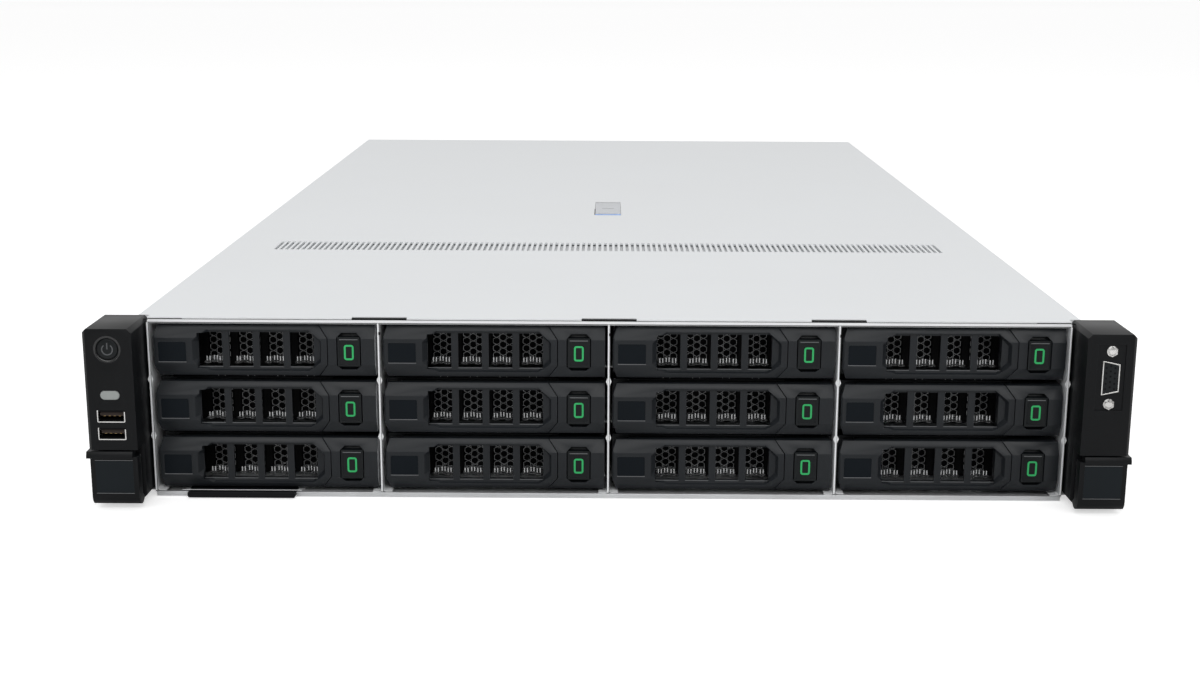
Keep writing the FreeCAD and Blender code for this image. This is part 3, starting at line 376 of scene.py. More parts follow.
# %% [markdown]
# ## Copies of the solids
# A CAD node is a mesh of loose triangles. A copy of it is merged, its flat faces are joined
# again, and it is split where it holds separate solids. Each solid can then have its own
# finish and its own softened edges. A bevel of a few tenths of a millimetre is enough.

# %% Pieces
def piece_from(bm, name, material, body, smooth=35.0):
    mesh = bpy.data.meshes.new(name)
    bm.to_mesh(mesh)
    bm.free()
    mesh.materials.append(material)
    for polygon in mesh.polygons:
        polygon.use_smooth = True
    mesh.set_sharp_from_angle(angle=math.radians(smooth))
    piece = bpy.data.objects.new(name, mesh)
    bpy.context.scene.collection.objects.link(piece)
    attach(piece, body)
    return piece


def paint(piece, material, low, high):
    """Gives the faces whose middle is inside a box another finish."""
    piece.data.materials.append(material)
    index = len(piece.data.materials) - 1
    count = 0
    for polygon in piece.data.polygons:
        if all(low[i] <= polygon.center[i] <= high[i] for i in range(3)):
            polygon.material_index = index
            count += 1
    return count


# %% Copies of the solids
def flat_regions(bm):
    """Lists of triangles that lie in one plane and touch."""
    waiting = set(bm.faces)
    regions = []
    for first in bm.faces[:]:
        if first in waiting:
            waiting.remove(first)
            group = [first]
            for face in group:
                for edge in face.edges:
                    for near in edge.link_faces:
                        if near in waiting and edge.calc_face_angle(1.0) < math.radians(1.0):
                            waiting.remove(near)
                            group.append(near)
            regions.append(group)
    return regions


def tidy_copy(node):
    """Merged copy; a flat face is joined only where it has no hole, which its Euler number tells."""
    bm = bmesh.new()
    bm.from_mesh(frame["nodes"][node].data)
    bmesh.ops.remove_doubles(bm, verts=bm.verts, dist=1e-6)
    for group in flat_regions(bm):
        corners = {vert for face in group for vert in face.verts}
        sides = {edge for face in group for edge in face.edges}
        if len(group) > 1 and len(corners) - len(sides) + len(group) == 1:
            bmesh.ops.dissolve_faces(bm, faces=group)
    spare = [v for v in bm.verts if len(v.link_edges) == 2 and v.calc_edge_angle(9.0) < math.radians(1.0)]
    bmesh.ops.dissolve_verts(bm, verts=spare)
    return bm


def islands(bm):
    """Sets of face numbers, one set for each separate solid."""
    bm.faces.index_update()
    waiting = set(bm.faces)
    found = []
    for first in bm.faces:
        if first not in waiting:
            continue
        waiting.remove(first)
        group = [first]
        for face in group:
            for edge in face.edges:
                for near in edge.link_faces:
                    if near in waiting:
                        waiting.remove(near)
                        group.append(near)
        found.append({face.index for face in group})
    return found


def box_volume(bm):
    low = [min(v.co[i] for v in bm.verts) for i in range(3)]
    high = [max(v.co[i] for v in bm.verts) for i in range(3)]
    return (high[0] - low[0]) * (high[1] - low[1]) * (high[2] - low[2])


def solids_of(node):
    """One bmesh for each solid of a node, the largest box first."""
    whole = tidy_copy(node)
    parts = []
    for wanted in islands(whole):
        part = whole.copy()
        part.faces.ensure_lookup_table()
        drop = [face for i, face in enumerate(part.faces) if i not in wanted]
        bmesh.ops.delete(part, geom=drop, context="FACES")
        parts.append(part)
    whole.free()
    return sorted(parts, key=box_volume, reverse=True)


def soften(bm, width, segments, angle=25.0):
    edges = [e for e in bm.edges if len(e.link_faces) == 2 and e.calc_face_angle(0.0) > math.radians(angle)]
    bmesh.ops.bevel(bm, geom=edges, offset=width, offset_type="OFFSET", segments=segments, profile=0.5,
                    affect="EDGES", clamp_overlap=True, material=-1)


def dress(node, finishes, width=0.25, segments=2):
    """Pieces for the solids of a node, largest first; the last finish serves for the rest."""
    made = []
    for i, part in enumerate(solids_of(node)):
        if width:
            soften(part, width * mm, segments)
        material = finishes[min(i, len(finishes) - 1)]
        name = node + "_finish" + ("_" + str(i + 1) if i else "")
        made.append(piece_from(part, name, material, body_of[node]))
        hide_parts(node)
    return made


# %% Sheet metal, ears and latches
dressed = {}
for node, finishes, width in (("chassis_base", [bright_zinc], 0.15), ("drive_cage", [bright_zinc], 0.12),
                              ("top_cover", [cover_zinc, vent_grey], 0.0),
                              ("left_ear", [ear_black, bright_zinc, chrome], 0.4),
                              ("right_ear", [ear_black, bright_zinc, chrome], 0.4),
                              ("left_latch", [ear_black], 0.3), ("right_latch", [ear_black], 0.3),
                              ("info_tag", [ear_black], 0.2), ("power_button", [button_black], 0.3),
                              ("status_button", [pill_grey], 0.3), ("cover_latch", [latch_grey], 0.3),
                              ("rack_screws", [chrome], 0.2),
                              ("front_ports", [chrome, board_green, board_green, chrome], 0.08)):
    dressed[node] = dress(node, finishes, width)
    print(node, len(dressed[node]))

# %% Inside and rear
for node, finishes in (("backplane", [board_green, deep_black]),
                       ("fan_wall", [deep_black, deep_black, deep_black, deep_black, bright_zinc]),
                       ("motherboard", [board_green, drive_alloy, drive_alloy, deep_black]),
                       ("air_shroud", [ear_black]), ("rear_panel", [bright_zinc]),
                       ("impeller_1", [deep_black]), ("impeller_2", [deep_black]),
                       ("impeller_3", [deep_black]), ("impeller_4", [deep_black]),
                       ("power_supply_1", [psu_zinc]), ("power_supply_2", [psu_zinc])):
    dressed[node] = dress(node, finishes, 0.0)
    print(node, len(dressed[node]))

# %% Drive fronts
for row, column in bays:
    tag = "_r%dc%d" % (row, column)
    dressed["lever" + tag] = dress("lever" + tag, [carrier_black], 0.3)
    dressed["release" + tag] = dress("release" + tag, [button_black], 0.3)
    tray, drive, screen = dress("carrier" + tag, [carrier_black, drive_alloy, deep_black], 0.2)
    low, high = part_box("lever" + tag)
    front = low.y
    wide = (low - Vector((0.01, 0.0, 0.01)), high + Vector((0.04, 0.2, 0.01)))
    # Painted shade: the front of each drive, behind the screen, is painted black.
    paint(drive, deep_black, wide[0], (wide[1].x, front + 0.0285, wide[1].z))
    paint(tray, bright_zinc, (wide[0].x, front + 0.0145, wide[0].z), wide[1])
    dressed["carrier" + tag] = [tray, drive, screen]
print("drive fronts:", len(bays))

# %% [markdown]
# ## Shaping helpers
# Flat details start as a grid of one face or a circle. A vertex bevel rounds the corners, an
# inset makes a rim, and an extrusion gives the thickness. Round details are a profile that
# is spun about its axis. Everything that faces the front is turned upright at the end.

# %% Shaping helpers
def upright(bm, centre):
    """Turns work made flat on the ground to face the front, and puts its middle in place."""
    turn = Matrix.Rotation(math.radians(90.0), 4, "X")
    bmesh.ops.transform(bm, matrix=Matrix.Translation(centre) @ turn, verts=bm.verts)


def thicken(bm, depth):
    """Extrudes every face downwards and closes the shape."""
    grown = bmesh.ops.extrude_face_region(bm, geom=bm.faces[:])
    moved = [item for item in grown["geom"] if isinstance(item, bmesh.types.BMVert)]
    bmesh.ops.translate(bm, verts=moved, vec=(0.0, 0.0, -depth))
    bmesh.ops.recalc_face_normals(bm, faces=bm.faces)


def plate(width, height, depth, corner=0.0, stroke=0.0, steps=4):
    """Rounded plate, or a rounded ring when a stroke is given; sizes in millimetres."""
    bm = bmesh.new()
    bmesh.ops.create_grid(bm, x_segments=1, y_segments=1, size=0.5)
    bmesh.ops.scale(bm, vec=(width * mm, height * mm, 1.0), verts=bm.verts)
    if corner:
        bmesh.ops.bevel(bm, geom=bm.verts[:], offset=corner * mm, offset_type="OFFSET", segments=steps,
                        profile=0.5, affect="VERTICES", material=-1)
    if stroke:
        inner = bm.faces[:]
        bmesh.ops.inset_region(bm, faces=inner, thickness=stroke * mm, use_boundary=True,
                                use_even_offset=True)
        bmesh.ops.delete(bm, geom=inner, context="FACES_ONLY")
    thicken(bm, depth * mm)
    return bm


def block(size, middle):
    """Box of a size and middle, in millimetres."""
    bm = bmesh.new()
    bmesh.ops.create_cube(bm, size=1.0)
    bmesh.ops.scale(bm, vec=[value * mm for value in size], verts=bm.verts)
    bmesh.ops.translate(bm, vec=[value * mm for value in middle], verts=bm.verts)
    return bm


def lathe(profile, segments=32):
    """Spins a line of (radius, height) points, in millimetres, about the upright axis."""
    bm = bmesh.new()
    corners = [bm.verts.new((radius * mm, 0.0, height * mm)) for radius, height in profile]
    edges = [bm.edges.new(pair) for pair in zip(corners, corners[1:])]
    bmesh.ops.spin(bm, geom=corners + edges, cent=(0, 0, 0), axis=(0, 0, 1), angle=2 * math.pi,
                   steps=segments, use_merge=True, use_duplicate=False)
    bmesh.ops.remove_doubles(bm, verts=bm.verts, dist=1e-7)
    bmesh.ops.recalc_face_normals(bm, faces=bm.faces)
    return bm


def add_to(whole, part, place=(0.0, 0.0, 0.0)):
    """Adds one shape to another and frees it."""
    bmesh.ops.translate(part, vec=place, verts=part.verts)
    mesh = bpy.data.meshes.new("part")
    part.to_mesh(mesh)
    part.free()
    whole.from_mesh(mesh)
    bpy.data.meshes.remove(mesh)


# %% [markdown]
# ## Screens behind the windows
# Each window has a stamped honeycomb: flat-topped six-sided holes with thin webs. One hole is
# a six-sided circle with its face inset and removed, and the inner rim is extruded for the
# sheet's thickness. The same web, laid flat, is the perforated sill below it, and pairs of
# small tabs in a light finish stand on the sill as painted glints.

# %% Honeycomb
def honeycomb(columns, rows, side, web, depth):
    """Web of six-sided holes on the ground, centred; the middle columns are half a step up."""
    bm = bmesh.new()
    step = math.sqrt(3.0) * side
    for c in range(columns):
        for r in range(rows):
            x = (c - (columns - 1) / 2.0) * 1.5 * side
            y = (r - (rows - 1) / 2.0 + (0.5 if c % 2 else 0.0)) * step
            bmesh.ops.create_circle(bm, cap_ends=True, segments=6, radius=side * mm,
                                    matrix=Matrix.Translation((x * mm, y * mm, 0.0)))
    bmesh.ops.recalc_face_normals(bm, faces=bm.faces)
    holes = bm.faces[:]
    bmesh.ops.inset_individual(bm, faces=holes, thickness=web * mm / 2.0, use_even_offset=True)
    rims = [edge for face in holes for edge in face.edges]
    bmesh.ops.delete(bm, geom=holes, context="FACES_ONLY")
    grown = bmesh.ops.extrude_edge_only(bm, edges=rims)
    moved = [item for item in grown["geom"] if isinstance(item, bmesh.types.BMVert)]
    bmesh.ops.translate(bm, verts=moved, vec=(0.0, 0.0, -depth * mm))
    return bm


window_first = 26.4
window_step = 14.45
hole_side = 2.07
tab_height = 2.2
for row, column in bays:
    tag = "_r%dc%d" % (row, column)
    low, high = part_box("lever" + tag)
    middle = (low.z + high.z) / 2.0
    screens = bmesh.new()
    sills = bmesh.new()
    glints = bmesh.new()
    for i in range(4):
        x = low.x + (window_first + i * window_step) * mm
        screen = honeycomb(3, 5, hole_side, 0.48, 0.7)
        upright(screen, (x, low.y + 23.6 * mm, middle + 0.2 * mm))
        add_to(screens, screen)
        sill = honeycomb(3, 4, hole_side, 0.5, 0.5)
        add_to(sills, sill, (x, low.y + 16.4 * mm, middle - 7.6 * mm))
        # Painted glints: small tabs in the light lit_edge finish stand in for light glinting off the sill.
        for k in (-1, 0, 1):
            for side in (-1, 1):
                setback = 12.0 if k else 13.7
                add_to(glints, block((0.42, 0.3, tab_height),
                                     (x / mm + k * 3.1 + side * 0.7, low.y / mm + setback,
                                      middle / mm - 7.4 + tab_height / 2.0)))
    piece_from(glints, "painted_glint_tabs" + tag, lit_edge, "carrier" + tag)
    piece_from(screens, "honeycomb" + tag, screen_steel, "carrier" + tag)
    piece_from(sills, "floor_mesh" + tag, glint_steel, "carrier" + tag)
print("screens:", len(bays))

# %% [markdown]
# ## Marks and lines on a drive front
# The release button carries a green ring, the label field a dark insert with a painted highlight
# line at its foot, and each window a painted highlight line along its foot. They are thin plates and bars.

# %% Marks on the drive fronts
for row, column in bays:
    tag = "_r%dc%d" % (row, column)
    low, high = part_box("lever" + tag)
    left = low.x / mm
    front = low.y / mm
    middle = (low.z + high.z) / 2.0 / mm
    ring = plate(4.6, 7.4, 0.25, corner=1.2, stroke=0.85)
    upright(ring, Vector((left + 92.45, front + 0.3, middle - 0.4)) * mm)
    piece_from(ring, "green_ring" + tag, mark_green, "release" + tag)
    lid = block((8.6, 0.35, 0.35), (left + 92.45, front + 0.15, middle + 5.9))
    piece_from(lid, "button_line" + tag, line_grey, "release" + tag)
    # Painted highlights: light grey bars along the foot of the label field and of each window.
    lines = block((13.2, 0.3, 0.3), (left + 9.05, front + 0.25, middle - 5.35))
    for i in range(4):
        x = left + window_first + i * window_step
        add_to(lines, block((11.2, 0.5, 0.3), (x, front + 4.0, middle - 8.4)))
    piece_from(lines, "sill_highlights" + tag, line_grey, "lever" + tag)
    field = plate(13.0, 9.6, 0.1, corner=0.8)
    upright(field, Vector((left + 9.05, front + 0.28, middle - 0.45)) * mm)
    piece_from(field, "label_field" + tag, field_black, "lever" + tag)
print("marks:", 4 * len(bays))

# %% [markdown]
# ## Edges of the cage
# The uprights between the columns end in a thin lip, painted light as a highlight, that widens where two
# drives meet.
# At the foot each upright curves outwards into a flange, which is an edge spun through a
# quarter turn, also painted light. The turned lip of the cage roof is one painted highlight line under the
# cover.

# %% Edges of the cage
cage_low, cage_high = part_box("drive_cage")
lever_boxes = {bay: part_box("lever_r%dc%d" % bay) for bay in bays}
lip_y = cage_low.y / mm
pitch = (lever_boxes[(1, 2)][0].x - lever_boxes[(1, 1)][0].x) / mm
first_upright = lever_boxes[(1, 1)][0].x / mm - 1.83
gaps = [(lever_boxes[(row, 1)][0].z + lever_boxes[(row + 1, 1)][1].z) / 2.0 / mm for row in (1, 2)]
uprights = [first_upright + i * pitch for i in range(5)]
lips = bmesh.new()
for x in uprights:
    add_to(lips, block((0.7, 0.3, 82.6), (x - 0.1, lip_y - 0.05, 44.1)))
    for z in gaps:
        diamond = bmesh.new()
        bmesh.ops.create_circle(diamond, cap_ends=True, segments=4, radius=mm)
        bmesh.ops.scale(diamond, vec=(1.3, 3.4, 1.0), verts=diamond.verts)
        thicken(diamond, 0.3 * mm)
        upright(diamond, Vector((x, lip_y + 0.05, z)) * mm)
        add_to(lips, diamond)
add_to(lips, block((2 * 216.9, 0.3, 1.0), (0.0, lip_y - 0.05, 86.2)))
piece_from(lips, "cage_lips", lit_edge, "chassis")
# Painted shade: the cage's front faces between the bezels are painted dark grey.
paint(dressed["drive_cage"][0], line_grey, Vector((-230.0, lip_y - 1.0, 4.0)) * mm,
      Vector((230.0, lip_y + 0.3, 84.6)) * mm)


def curved_flange(x, side):
    """Quarter-round foot of an upright, with a short flat flange."""
    bm = bmesh.new()
    start = [bm.verts.new(Vector((x + side * 0.3, y, 4.0)) * mm) for y in (lip_y + 0.4, lip_y + 8.0)]
    edge = bm.edges.new(start)
    spun = bmesh.ops.spin(bm, geom=start + [edge], cent=Vector((x + side * 1.7, 0.0, 4.0)) * mm,
                          axis=(0.0, 1.0, 0.0), angle=-side * math.pi / 2.0, steps=5, use_duplicate=False)
    last = [item for item in spun["geom_last"] if isinstance(item, bmesh.types.BMEdge)]
    out = bmesh.ops.extrude_edge_only(bm, edges=last)
    ends = [item for item in out["geom"] if isinstance(item, bmesh.types.BMVert)]
    bmesh.ops.translate(bm, verts=ends, vec=(side * 3.0 * mm, 0.0, 0.0))
    bmesh.ops.solidify(bm, geom=bm.faces[:], thickness=0.25 * mm)
    return bm


feet = bmesh.new()
for i, x in enumerate(uprights):
    for side in (-1, 1):
        if (i, side) not in ((0, -1), (4, 1)):
            add_to(feet, curved_flange(x, side))
piece_from(feet, "upright_feet", lit_edge, "chassis")
# Painted shade: small black blocks on the lips where the notches are dark.
joggle_shade = bmesh.new()
for x in uprights[1:4]:
    add_to(joggle_shade, block((0.9, 0.4, 1.3), (x + 0.5, lip_y - 0.12, 80.6)))
piece_from(joggle_shade, "joggle_notch_shade", deep_black, "chassis")
print("uprights:", len(uprights))

# %% [markdown]
# ## Cover
# The cover is one folded sheet. Its vents are pairs of narrow slots: the solid has one slot
# for each pair, and a thin bar is added here down its middle. Below them lies a grey screen.
# The front edge is rolled and painted light as a highlight, with three shallow notches; black blocks and dots
# in them and a thin black strip along the edge are painted shade.

# %% Cover vents and front edge
cover_low, cover_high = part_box("top_cover")
cover_top = cover_high.z / mm
vent_count = 61
vent_pitch = 6.4
first_vent = -192.5
vent_middle = 194.75
vents = bmesh.new()
for i in range(vent_count):
    add_to(vents, block((1.5, 27.5, 1.0), (first_vent + i * vent_pitch, vent_middle, cover_top - 0.55)))
piece_from(vents, "vent_bars", cover_zinc, "top_cover")
screen = block((396.0, 34.0, 0.6), (0.0, vent_middle, cover_top - 2.2))
piece_from(screen, "vent_screen", vent_grey, "top_cover")
front_edge = cover_low.y / mm
# Painted highlight: the rolled front edge takes the light lit_edge finish.
rolls = bmesh.new()
notch_middles = uprights[1:4]
starts = [-217.9] + [x + 13.0 for x in notch_middles]
ends = [x - 13.0 for x in notch_middles] + [217.9]
for start, end in zip(starts, ends):
    roll = bmesh.new()
    bmesh.ops.create_cone(roll, cap_ends=True, segments=12, radius1=0.36 * mm, radius2=0.36 * mm,
                          depth=(end - start) * mm)
    bmesh.ops.rotate(roll, verts=roll.verts, matrix=Matrix.Rotation(math.radians(90.0), 3, "Y"))
    add_to(rolls, roll, Vector(((start + end) / 2.0, front_edge + 0.3, cover_top - 0.38)) * mm)
piece_from(rolls, "rolled_edge", lit_edge, "top_cover")
# Painted shade: black blocks, corner dots and a thin strip stand for the shadow in the gap under the cover's
# edge.
notch_shade = bmesh.new()
for x in notch_middles:
    add_to(notch_shade, block((26.0, 3.0, 1.2), (x, front_edge + 1.4, cover_top - 0.95)))
    for side in (-1, 1):
        shade_dot = bmesh.new()
        bmesh.ops.create_cone(shade_dot, cap_ends=True, segments=12, radius1=0.9 * mm, radius2=0.9 * mm,
                              depth=1.4 * mm)
        add_to(notch_shade, shade_dot, Vector((x + side * 12.0, front_edge + 1.6, cover_top - 1.0)) * mm)
for side in (-1, 1):
    add_to(notch_shade, block((16.0, 0.8, 1.0), (side * 209.5, front_edge - 0.3, cover_top - 1.0)))
add_to(notch_shade, block((432.0, 0.2, 0.45), (0.0, front_edge - 0.12, cover_top - 0.95)))
piece_from(notch_shade, "notch_shade_blocks", deep_black, "chassis")
print("vent bars:", vent_count, "notches:", len(notch_middles))

# %% Cover latch
latch_low, latch_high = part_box("cover_latch")
x0, x1 = latch_low.x / mm, latch_high.x / mm
y0, y1 = latch_low.y / mm, latch_high.y / mm
middle_x = (x0 + x1) / 2.0
stripe = block((x1 - x0, 4.2, 0.25), (middle_x, y0 + 1.9, cover_top - 0.05))
piece_from(stripe, "latch_stripe", stripe_blue, "cover_latch")
line = block((8.0, 0.9, 0.2), (middle_x, (y0 + y1) / 2.0, cover_top - 0.08))
piece_from(line, "latch_line", line_grey, "cover_latch")
# Painted shade: a black strip in the gap at the latch's left side.
latch_gap_shade = block((0.55, 26.0, 0.3), (x0 - 0.2, y0 + 14.0, cover_top - 0.1))
piece_from(latch_gap_shade, "latch_gap_shade_strip", deep_black, "top_cover")
# Painted highlight: a light ring around the latch where its borders catch the light.
rim = plate(x1 - x0 + 2.4, y1 - y0 + 2.4, 0.25, corner=1.0, stroke=1.0)
bmesh.ops.translate(rim, vec=Vector((middle_x, (y0 + y1) / 2.0, cover_top - 0.02)) * mm, verts=rim.verts)
piece_from(rim, "latch_rim_highlight", lit_edge, "top_cover")
print("latch:", round(x1 - x0, 1), "by", round(y1 - y0, 1))

# %% [markdown]
# ## Controls on the left ear
# The power button sits in a raised ring and bears the usual broken circle and bar. The ring
# is a spun profile, and the broken circle a short edge spun through most of a turn.

# %% Power button
button_low, button_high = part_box("power_button")
button_x = (button_low.x + button_high.x) / 2.0 / mm
button_z = (button_low.z + button_high.z) / 2.0 / mm
ear_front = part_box("left_ear")[0].y / mm
ring = lathe([(5.35, -0.6), (5.35, 0.05), (5.7, 0.28), (6.25, 0.28), (6.6, 0.0), (6.6, -0.6)], 48)
upright(ring, Vector((button_x, ear_front + 0.3, button_z)) * mm)
piece_from(ring, "power_ring", ring_black, "chassis")


def power_symbol(radius, stroke, depth):
    bm = bmesh.new()
    gap = math.radians(38.0)
    begin = math.radians(90.0) + gap
    turn = Matrix.Rotation(begin, 4, "Z")
    ends = [bm.verts.new(turn @ Vector((r * mm, 0.0, 0.0))) for r in (radius - stroke, radius)]
    edge = bm.edges.new(ends)
    bmesh.ops.spin(bm, geom=ends + [edge], cent=(0, 0, 0), axis=(0, 0, 1), angle=2 * math.pi - 2 * gap,
                   steps=26, use_duplicate=False)
    bar = bmesh.ops.create_grid(bm, x_segments=1, y_segments=1, size=0.5)
    bmesh.ops.scale(bm, vec=(stroke * mm, radius * 1.1 * mm, 1.0), verts=bar["verts"])
    bmesh.ops.translate(bm, vec=(0.0, radius * 0.62 * mm, 0.0), verts=bar["verts"])
    thicken(bm, depth * mm)
    return bm


symbol = power_symbol(2.7, 0.5, 0.2)
upright(symbol, Vector((button_x, ear_front + 0.38, button_z - 0.2)) * mm)
piece_from(symbol, "power_symbol", mark_grey, "power_button")
print("power button at", round(button_x, 1), round(button_z, 1))

# %% USB sockets
usb_pieces = dressed["front_ports"][3:]
for i, shell in enumerate(usb_pieces):
    points = [vertex.co for vertex in shell.data.vertices]
    z = (min(p.z for p in points) + max(p.z for p in points)) / 2.0 / mm
    x = button_x
    # Painted shade: the metal inside of each USB shell is painted black.
    paint(shell, deep_black, Vector((x - 5.95, ear_front + 0.35, z - 2.55)) * mm,
          Vector((x + 5.95, 0.0, z + 2.55)) * mm)
    paint(shell, tongue_brown, Vector((x - 5.5, ear_front + 1.7, z - 0.3)) * mm,
          Vector((x + 5.5, ear_front + 1.95, z + 1.7)) * mm)
    contacts = bmesh.new()
    for k in range(4):
        add_to(contacts, block((1.0, 3.0, 0.15), (x - 3.5 + k * 2.33, ear_front + 3.5, z - 0.28)))
    piece_from(contacts, "usb_contacts_%d" % (i + 1), gold_pin, "chassis")
    lipped = plate(12.9, 5.9, 0.35, corner=0.5, stroke=0.45)
    upright(lipped, Vector((x, ear_front + 0.12, z)) * mm)
    piece_from(lipped, "usb_rim_%d" % (i + 1), chrome, "chassis")
    shade = block((12.4, 0.2, 0.8), (x + 0.3, ear_front + 0.05, z + 2.6))
    piece_from(shade, "usb_shade_%d" % (i + 1), deep_black, "chassis")
print("usb sockets:", len(usb_pieces))

# %% [markdown]
# ## Display socket on the right ear
# The D-shaped rim is in the solid. Here it gets a black surround, its black insert with three
# staggered columns of five contacts, and two round jackscrews, each spun from a profile.

# %% Display socket
right_x = -button_x
socket_z = 66.6
jack_half = 24.99 / 2.0
fill = plate(13.8, 31.4, 0.5, corner=0.8)
upright(fill, Vector((right_x, ear_front + 0.55, socket_z)) * mm)
piece_from(fill, "display_surround", ear_black, "chassis")
insert = bmesh.new()
bmesh.ops.create_grid(insert, x_segments=1, y_segments=1, size=0.5)
for vert in insert.verts:
    narrow = 1.6 if vert.co.x > 0 else 0.0
    vert.co = Vector((vert.co.x * 6.9, vert.co.y * (15.2 - 2 * narrow), 0.0)) * mm
thicken(insert, 0.6 * mm)
upright(insert, Vector((right_x, ear_front + 0.2, socket_z)) * mm)
piece_from(insert, "display_insert", button_black, "chassis")
socket = dressed["front_ports"][0]
paint(socket, ear_black, Vector((right_x - 7, ear_front + 2.8, socket_z - 16)) * mm,
      Vector((right_x + 7, 0.0, socket_z + 16)) * mm)
contacts = bmesh.new()
for c in range(3):
    for r in range(5):
        pin = lathe([(0.0, 0.03), (0.5, 0.03), (0.55, -0.3)], 10)
        upright(pin, Vector((right_x - 2.1 + c * 2.0, ear_front + 0.2,
                             socket_z + (r - 2) * 2.5 + (0.6 if c == 1 else -0.3))) * mm)
        add_to(contacts, pin)
piece_from(contacts, "display_contacts", deep_black, "chassis")
jacks = bmesh.new()
for side in (-1, 1):
    jack = lathe([(1.1, -2.4), (1.1, 0.1), (1.5, 0.3), (2.2, 0.3), (2.55, -0.1), (2.55, -2.4)], 24)
    upright(jack, Vector((right_x, ear_front - 0.1, socket_z + side * jack_half)) * mm)
    add_to(jacks, jack)
piece_from(jacks, "jackscrews", chrome, "chassis")
# Painted shade: black discs close the holes of the jackscrews.
bore_shades = bmesh.new()
for side in (-1, 1):
    bore_shade = bmesh.new()
    bmesh.ops.create_circle(bore_shade, cap_ends=True, segments=20, radius=1.1 * mm)
    upright(bore_shade, Vector((right_x, ear_front - 0.15, socket_z + side * jack_half)) * mm)
    add_to(bore_shades, bore_shade)
piece_from(bore_shades, "jackscrew_bore_shade", deep_black, "chassis")
print("display contacts: 15")

# %% [markdown]
# ## Latches and tag
# Each ear latch has a shallow darker panel between two fine lines. The pull-out tag sits under
# a folded sheet edge painted light as a highlight, and a thin plate shows below its right end.

# %% Latches and tag
for side in ("left", "right"):
    low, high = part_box(side + "_latch")
    x = math.copysign(abs(button_x), low.x)
    panel = plate(17.6, 15.4, 0.15, corner=0.6)
    upright(panel, Vector((x, ear_front - 0.08, 16.4)) * mm)
    piece_from(panel, side + "_latch_panel", panel_black, side + "_latch")
    lines = block((17.6, 0.2, 0.22), (x, ear_front - 0.06, 24.4))
    add_to(lines, block((17.6, 0.2, 0.22), (x, ear_front - 0.06, 8.4)))
    piece_from(lines, side + "_latch_lines", line_grey, side + "_latch")
tag_low, tag_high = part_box("info_tag")
tag_x = (tag_low.x + tag_high.x) / 2.0 / mm
# Painted highlight: a light bar along the sheet edge over the tag.
tag_edge = block((tag_high.x / mm - tag_low.x / mm + 6.0, 0.3, 0.24), (tag_x, lip_y - 0.1, 3.19))
piece_from(tag_edge, "tag_slot_highlight", lit_edge, "chassis")
tag_plate = block((44.0, 2.0, 0.35), (tag_x + 3.2, tag_low.y / mm + 1.2, 0.3))
piece_from(tag_plate, "tag_plate", ring_black, "info_tag")
# Painted shade: black strips under the ends of the cover's front edge.
steps = bmesh.new()
for x in (-213.5, 213.5):
    add_to(steps, block((15.0, 0.25, 0.5), (x, front_edge - 0.14, cover_top - 0.95)))
piece_from(steps, "cover_step_shade", deep_black, "top_cover")
print("latch panels, tag and cover steps")

# %% [markdown]
# ## Rear
# The supplies have a round wire guard over the fan, made of spun rings on a cross, and a
# lamp. Their handles and inlets are black. The card slots are closed by honeycomb covers.

# %% Facing the rear
rear_face = 773.0
supply_face = 775.0


def rearward(bm, centre):
    """Turns work made flat on the ground to face the rear."""
    turn = Matrix.Rotation(math.radians(180.0), 4, "Z") @ Matrix.Rotation(math.radians(90.0), 4, "X")
    bmesh.ops.transform(bm, matrix=Matrix.Translation(centre) @ turn, verts=bm.verts)


def rear_screw(x, z):
    """Domed screw head on the rear plate."""
    head = lathe([(0.0, 0.9), (1.6, 0.9), (2.6, 0.3), (2.8, 0.0), (2.8, -0.4)], 20)
    rearward(head, Vector((x, rear_face, z)) * mm)
    return head


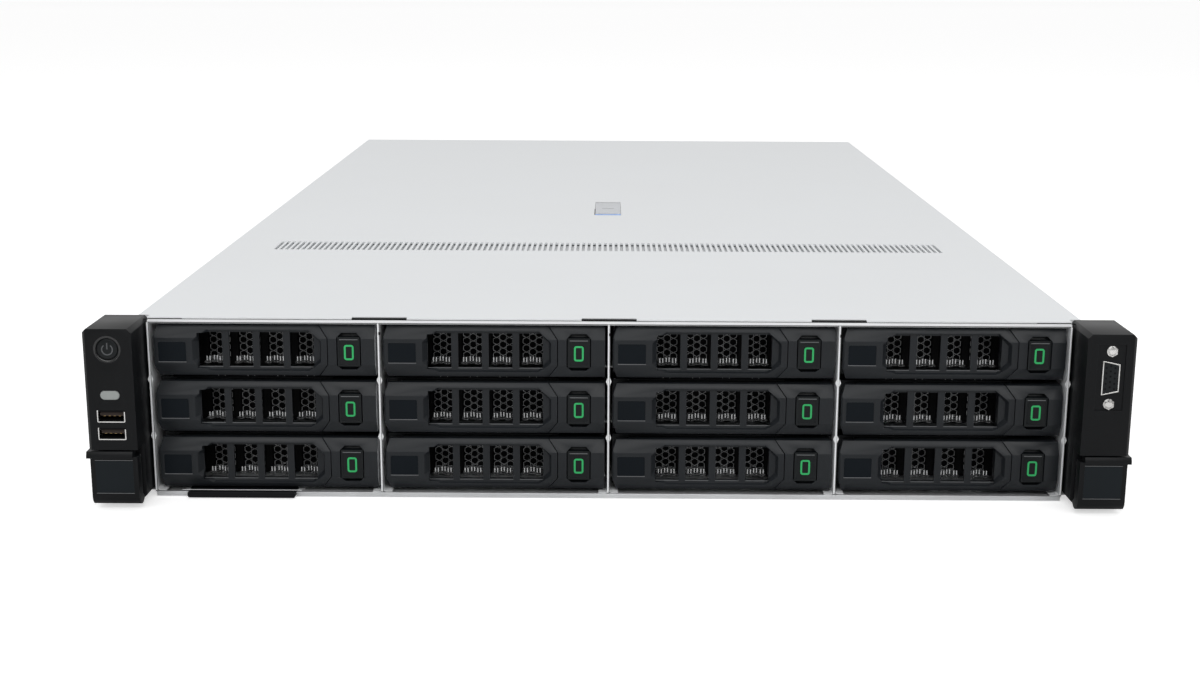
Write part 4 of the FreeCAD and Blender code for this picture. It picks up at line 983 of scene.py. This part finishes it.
# %% Power supplies
for i in (1, 2):
    name = "power_supply_%d" % i
    low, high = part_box(name)
    left, right = low.x / mm, high.x / mm
    middle = (low.z + high.z) / 2.0 / mm
    handle = ((right - 31, supply_face + 0.3, middle + 7), (right, 800, middle + 15))
    tab = ((left + 3, supply_face + 0.3, middle - 19), (left + 17, 790, middle - 15))
    inlet = ((right - 29.2, 755.0, middle - 16.2), (right - 3.8, supply_face - 0.3, middle + 1.2))
    grille = ((left + 5.9, 771.0, middle - 17), (left + 38.1, supply_face - 0.3, middle + 17))
    for material, zone in ((ear_black, handle), (stripe_blue, tab), (deep_black, inlet), (deep_black, grille)):
        paint(dressed[name][0], material, Vector(zone[0]) * mm, Vector(zone[1]) * mm)
    guard = bmesh.new()
    for radius in (5.0, 9.0, 13.0, 17.0):
        add_to(guard, lathe([(radius - 0.5, 0.0), (radius, 0.5), (radius + 0.5, 0.0), (radius, -0.5),
                             (radius - 0.5, 0.0)], 36))
    for angle in (45.0, 135.0):
        bar = block((36.0, 0.8, 0.8), (0.0, 0.0, -0.4))
        bmesh.ops.rotate(bar, verts=bar.verts, matrix=Matrix.Rotation(math.radians(angle), 3, "Z"))
        add_to(guard, bar)
    rearward(guard, Vector((left + 22.0, supply_face + 1.0, middle)) * mm)
    piece_from(guard, "fan_guard_%d" % i, chrome, name)
    back = plate(35.0, 35.0, 0.2, corner=17.0, steps=8)
    rearward(back, Vector((left + 22.0, supply_face + 0.2, middle)) * mm)
    piece_from(back, "fan_dark_%d" % i, deep_black, name)
    lamp = lathe([(0.0, 0.5), (0.9, 0.4), (1.3, 0.0), (1.3, -0.5)], 20)
    rearward(lamp, Vector((left + 42.0, supply_face + 0.2, middle + 14.0)) * mm)
    piece_from(lamp, "supply_lamp_%d" % i, mark_green, name)
    surround = plate(26.6, 18.6, 0.6, corner=1.6, stroke=0.9)
    rearward(surround, Vector((right - 16.5, supply_face + 0.5, middle - 7.5)) * mm)
    piece_from(surround, "inlet_rim_%d" % i, ear_black, name)
print("power supplies dressed")

# %% Card slots and sockets
inner_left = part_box("rear_panel")[0].x / mm
riser_step = 128.0
slot_step = 20.6
covers = bmesh.new()
slot_shade = bmesh.new()
screws = bmesh.new()
for riser in range(2):
    for k in range(3):
        x = inner_left + 68.0 + riser * riser_step
        z = 30.64 + k * slot_step
        web = honeycomb(35, 3, 2.1, 0.9, 0.5)
        rearward(web, Vector((x, rear_face - 0.3, z - 0.9)) * mm)
        add_to(covers, web)
        # Painted shade: a black sheet behind each cover darkens its holes.
        add_to(slot_shade, block((115.0, 0.2, 12.8), (x, rear_face - 1.0, z)))
        add_to(screws, rear_screw(x + 61.6, z))
piece_from(covers, "slot_covers", bright_zinc, "chassis")
piece_from(slot_shade, "slot_shade_sheets", deep_black, "chassis")
for jack in dressed["rear_panel"][2:]:
    paint(jack, deep_black, (-1.0, 0.7577, -1.0), (1.0, 0.7716, 1.0))
for x in (inner_left + 5.0, 40.0, 138.0):
    add_to(screws, rear_screw(x, 15.0))
piece_from(screws, "rear_screws", chrome, "chassis")
print("slot covers: 6")

# %% [markdown]
# ## Sides
# The ear brackets are held by three countersunk screws a side, and rivets run along the foot
# of the walls, where the tub is joined to the cage and the fan frame.

# %% Sides
wall_face = 222.2
bracket_face = 223.4
heads = [(36, z, 2.6, bracket_face) for z in (20, 43, 66)]
heads += [(y, 8, 1.9, wall_face) for y in (90, 230, 300, 440, 560, 740)] + [(740, 70, 1.9, wall_face)]
fixings = bmesh.new()
for side in (-1, 1):
    turn = Matrix.Rotation(math.radians(90.0 * side), 4, "Y")
    for y, z, radius, out in heads:
        head = lathe([(0.0, 0.15), (radius * 0.4, 0.15), (radius * 0.8, 0.35), (radius, 0.0)], 20)
        bmesh.ops.transform(head, matrix=Matrix.Translation(Vector((side * out, y, z)) * mm) @ turn,
                            verts=head.verts)
        add_to(fixings, head)
piece_from(fixings, "side_fixings", chrome, "chassis")
print("side fixings:", 2 * len(heads))

# %% Finish
low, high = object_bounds()
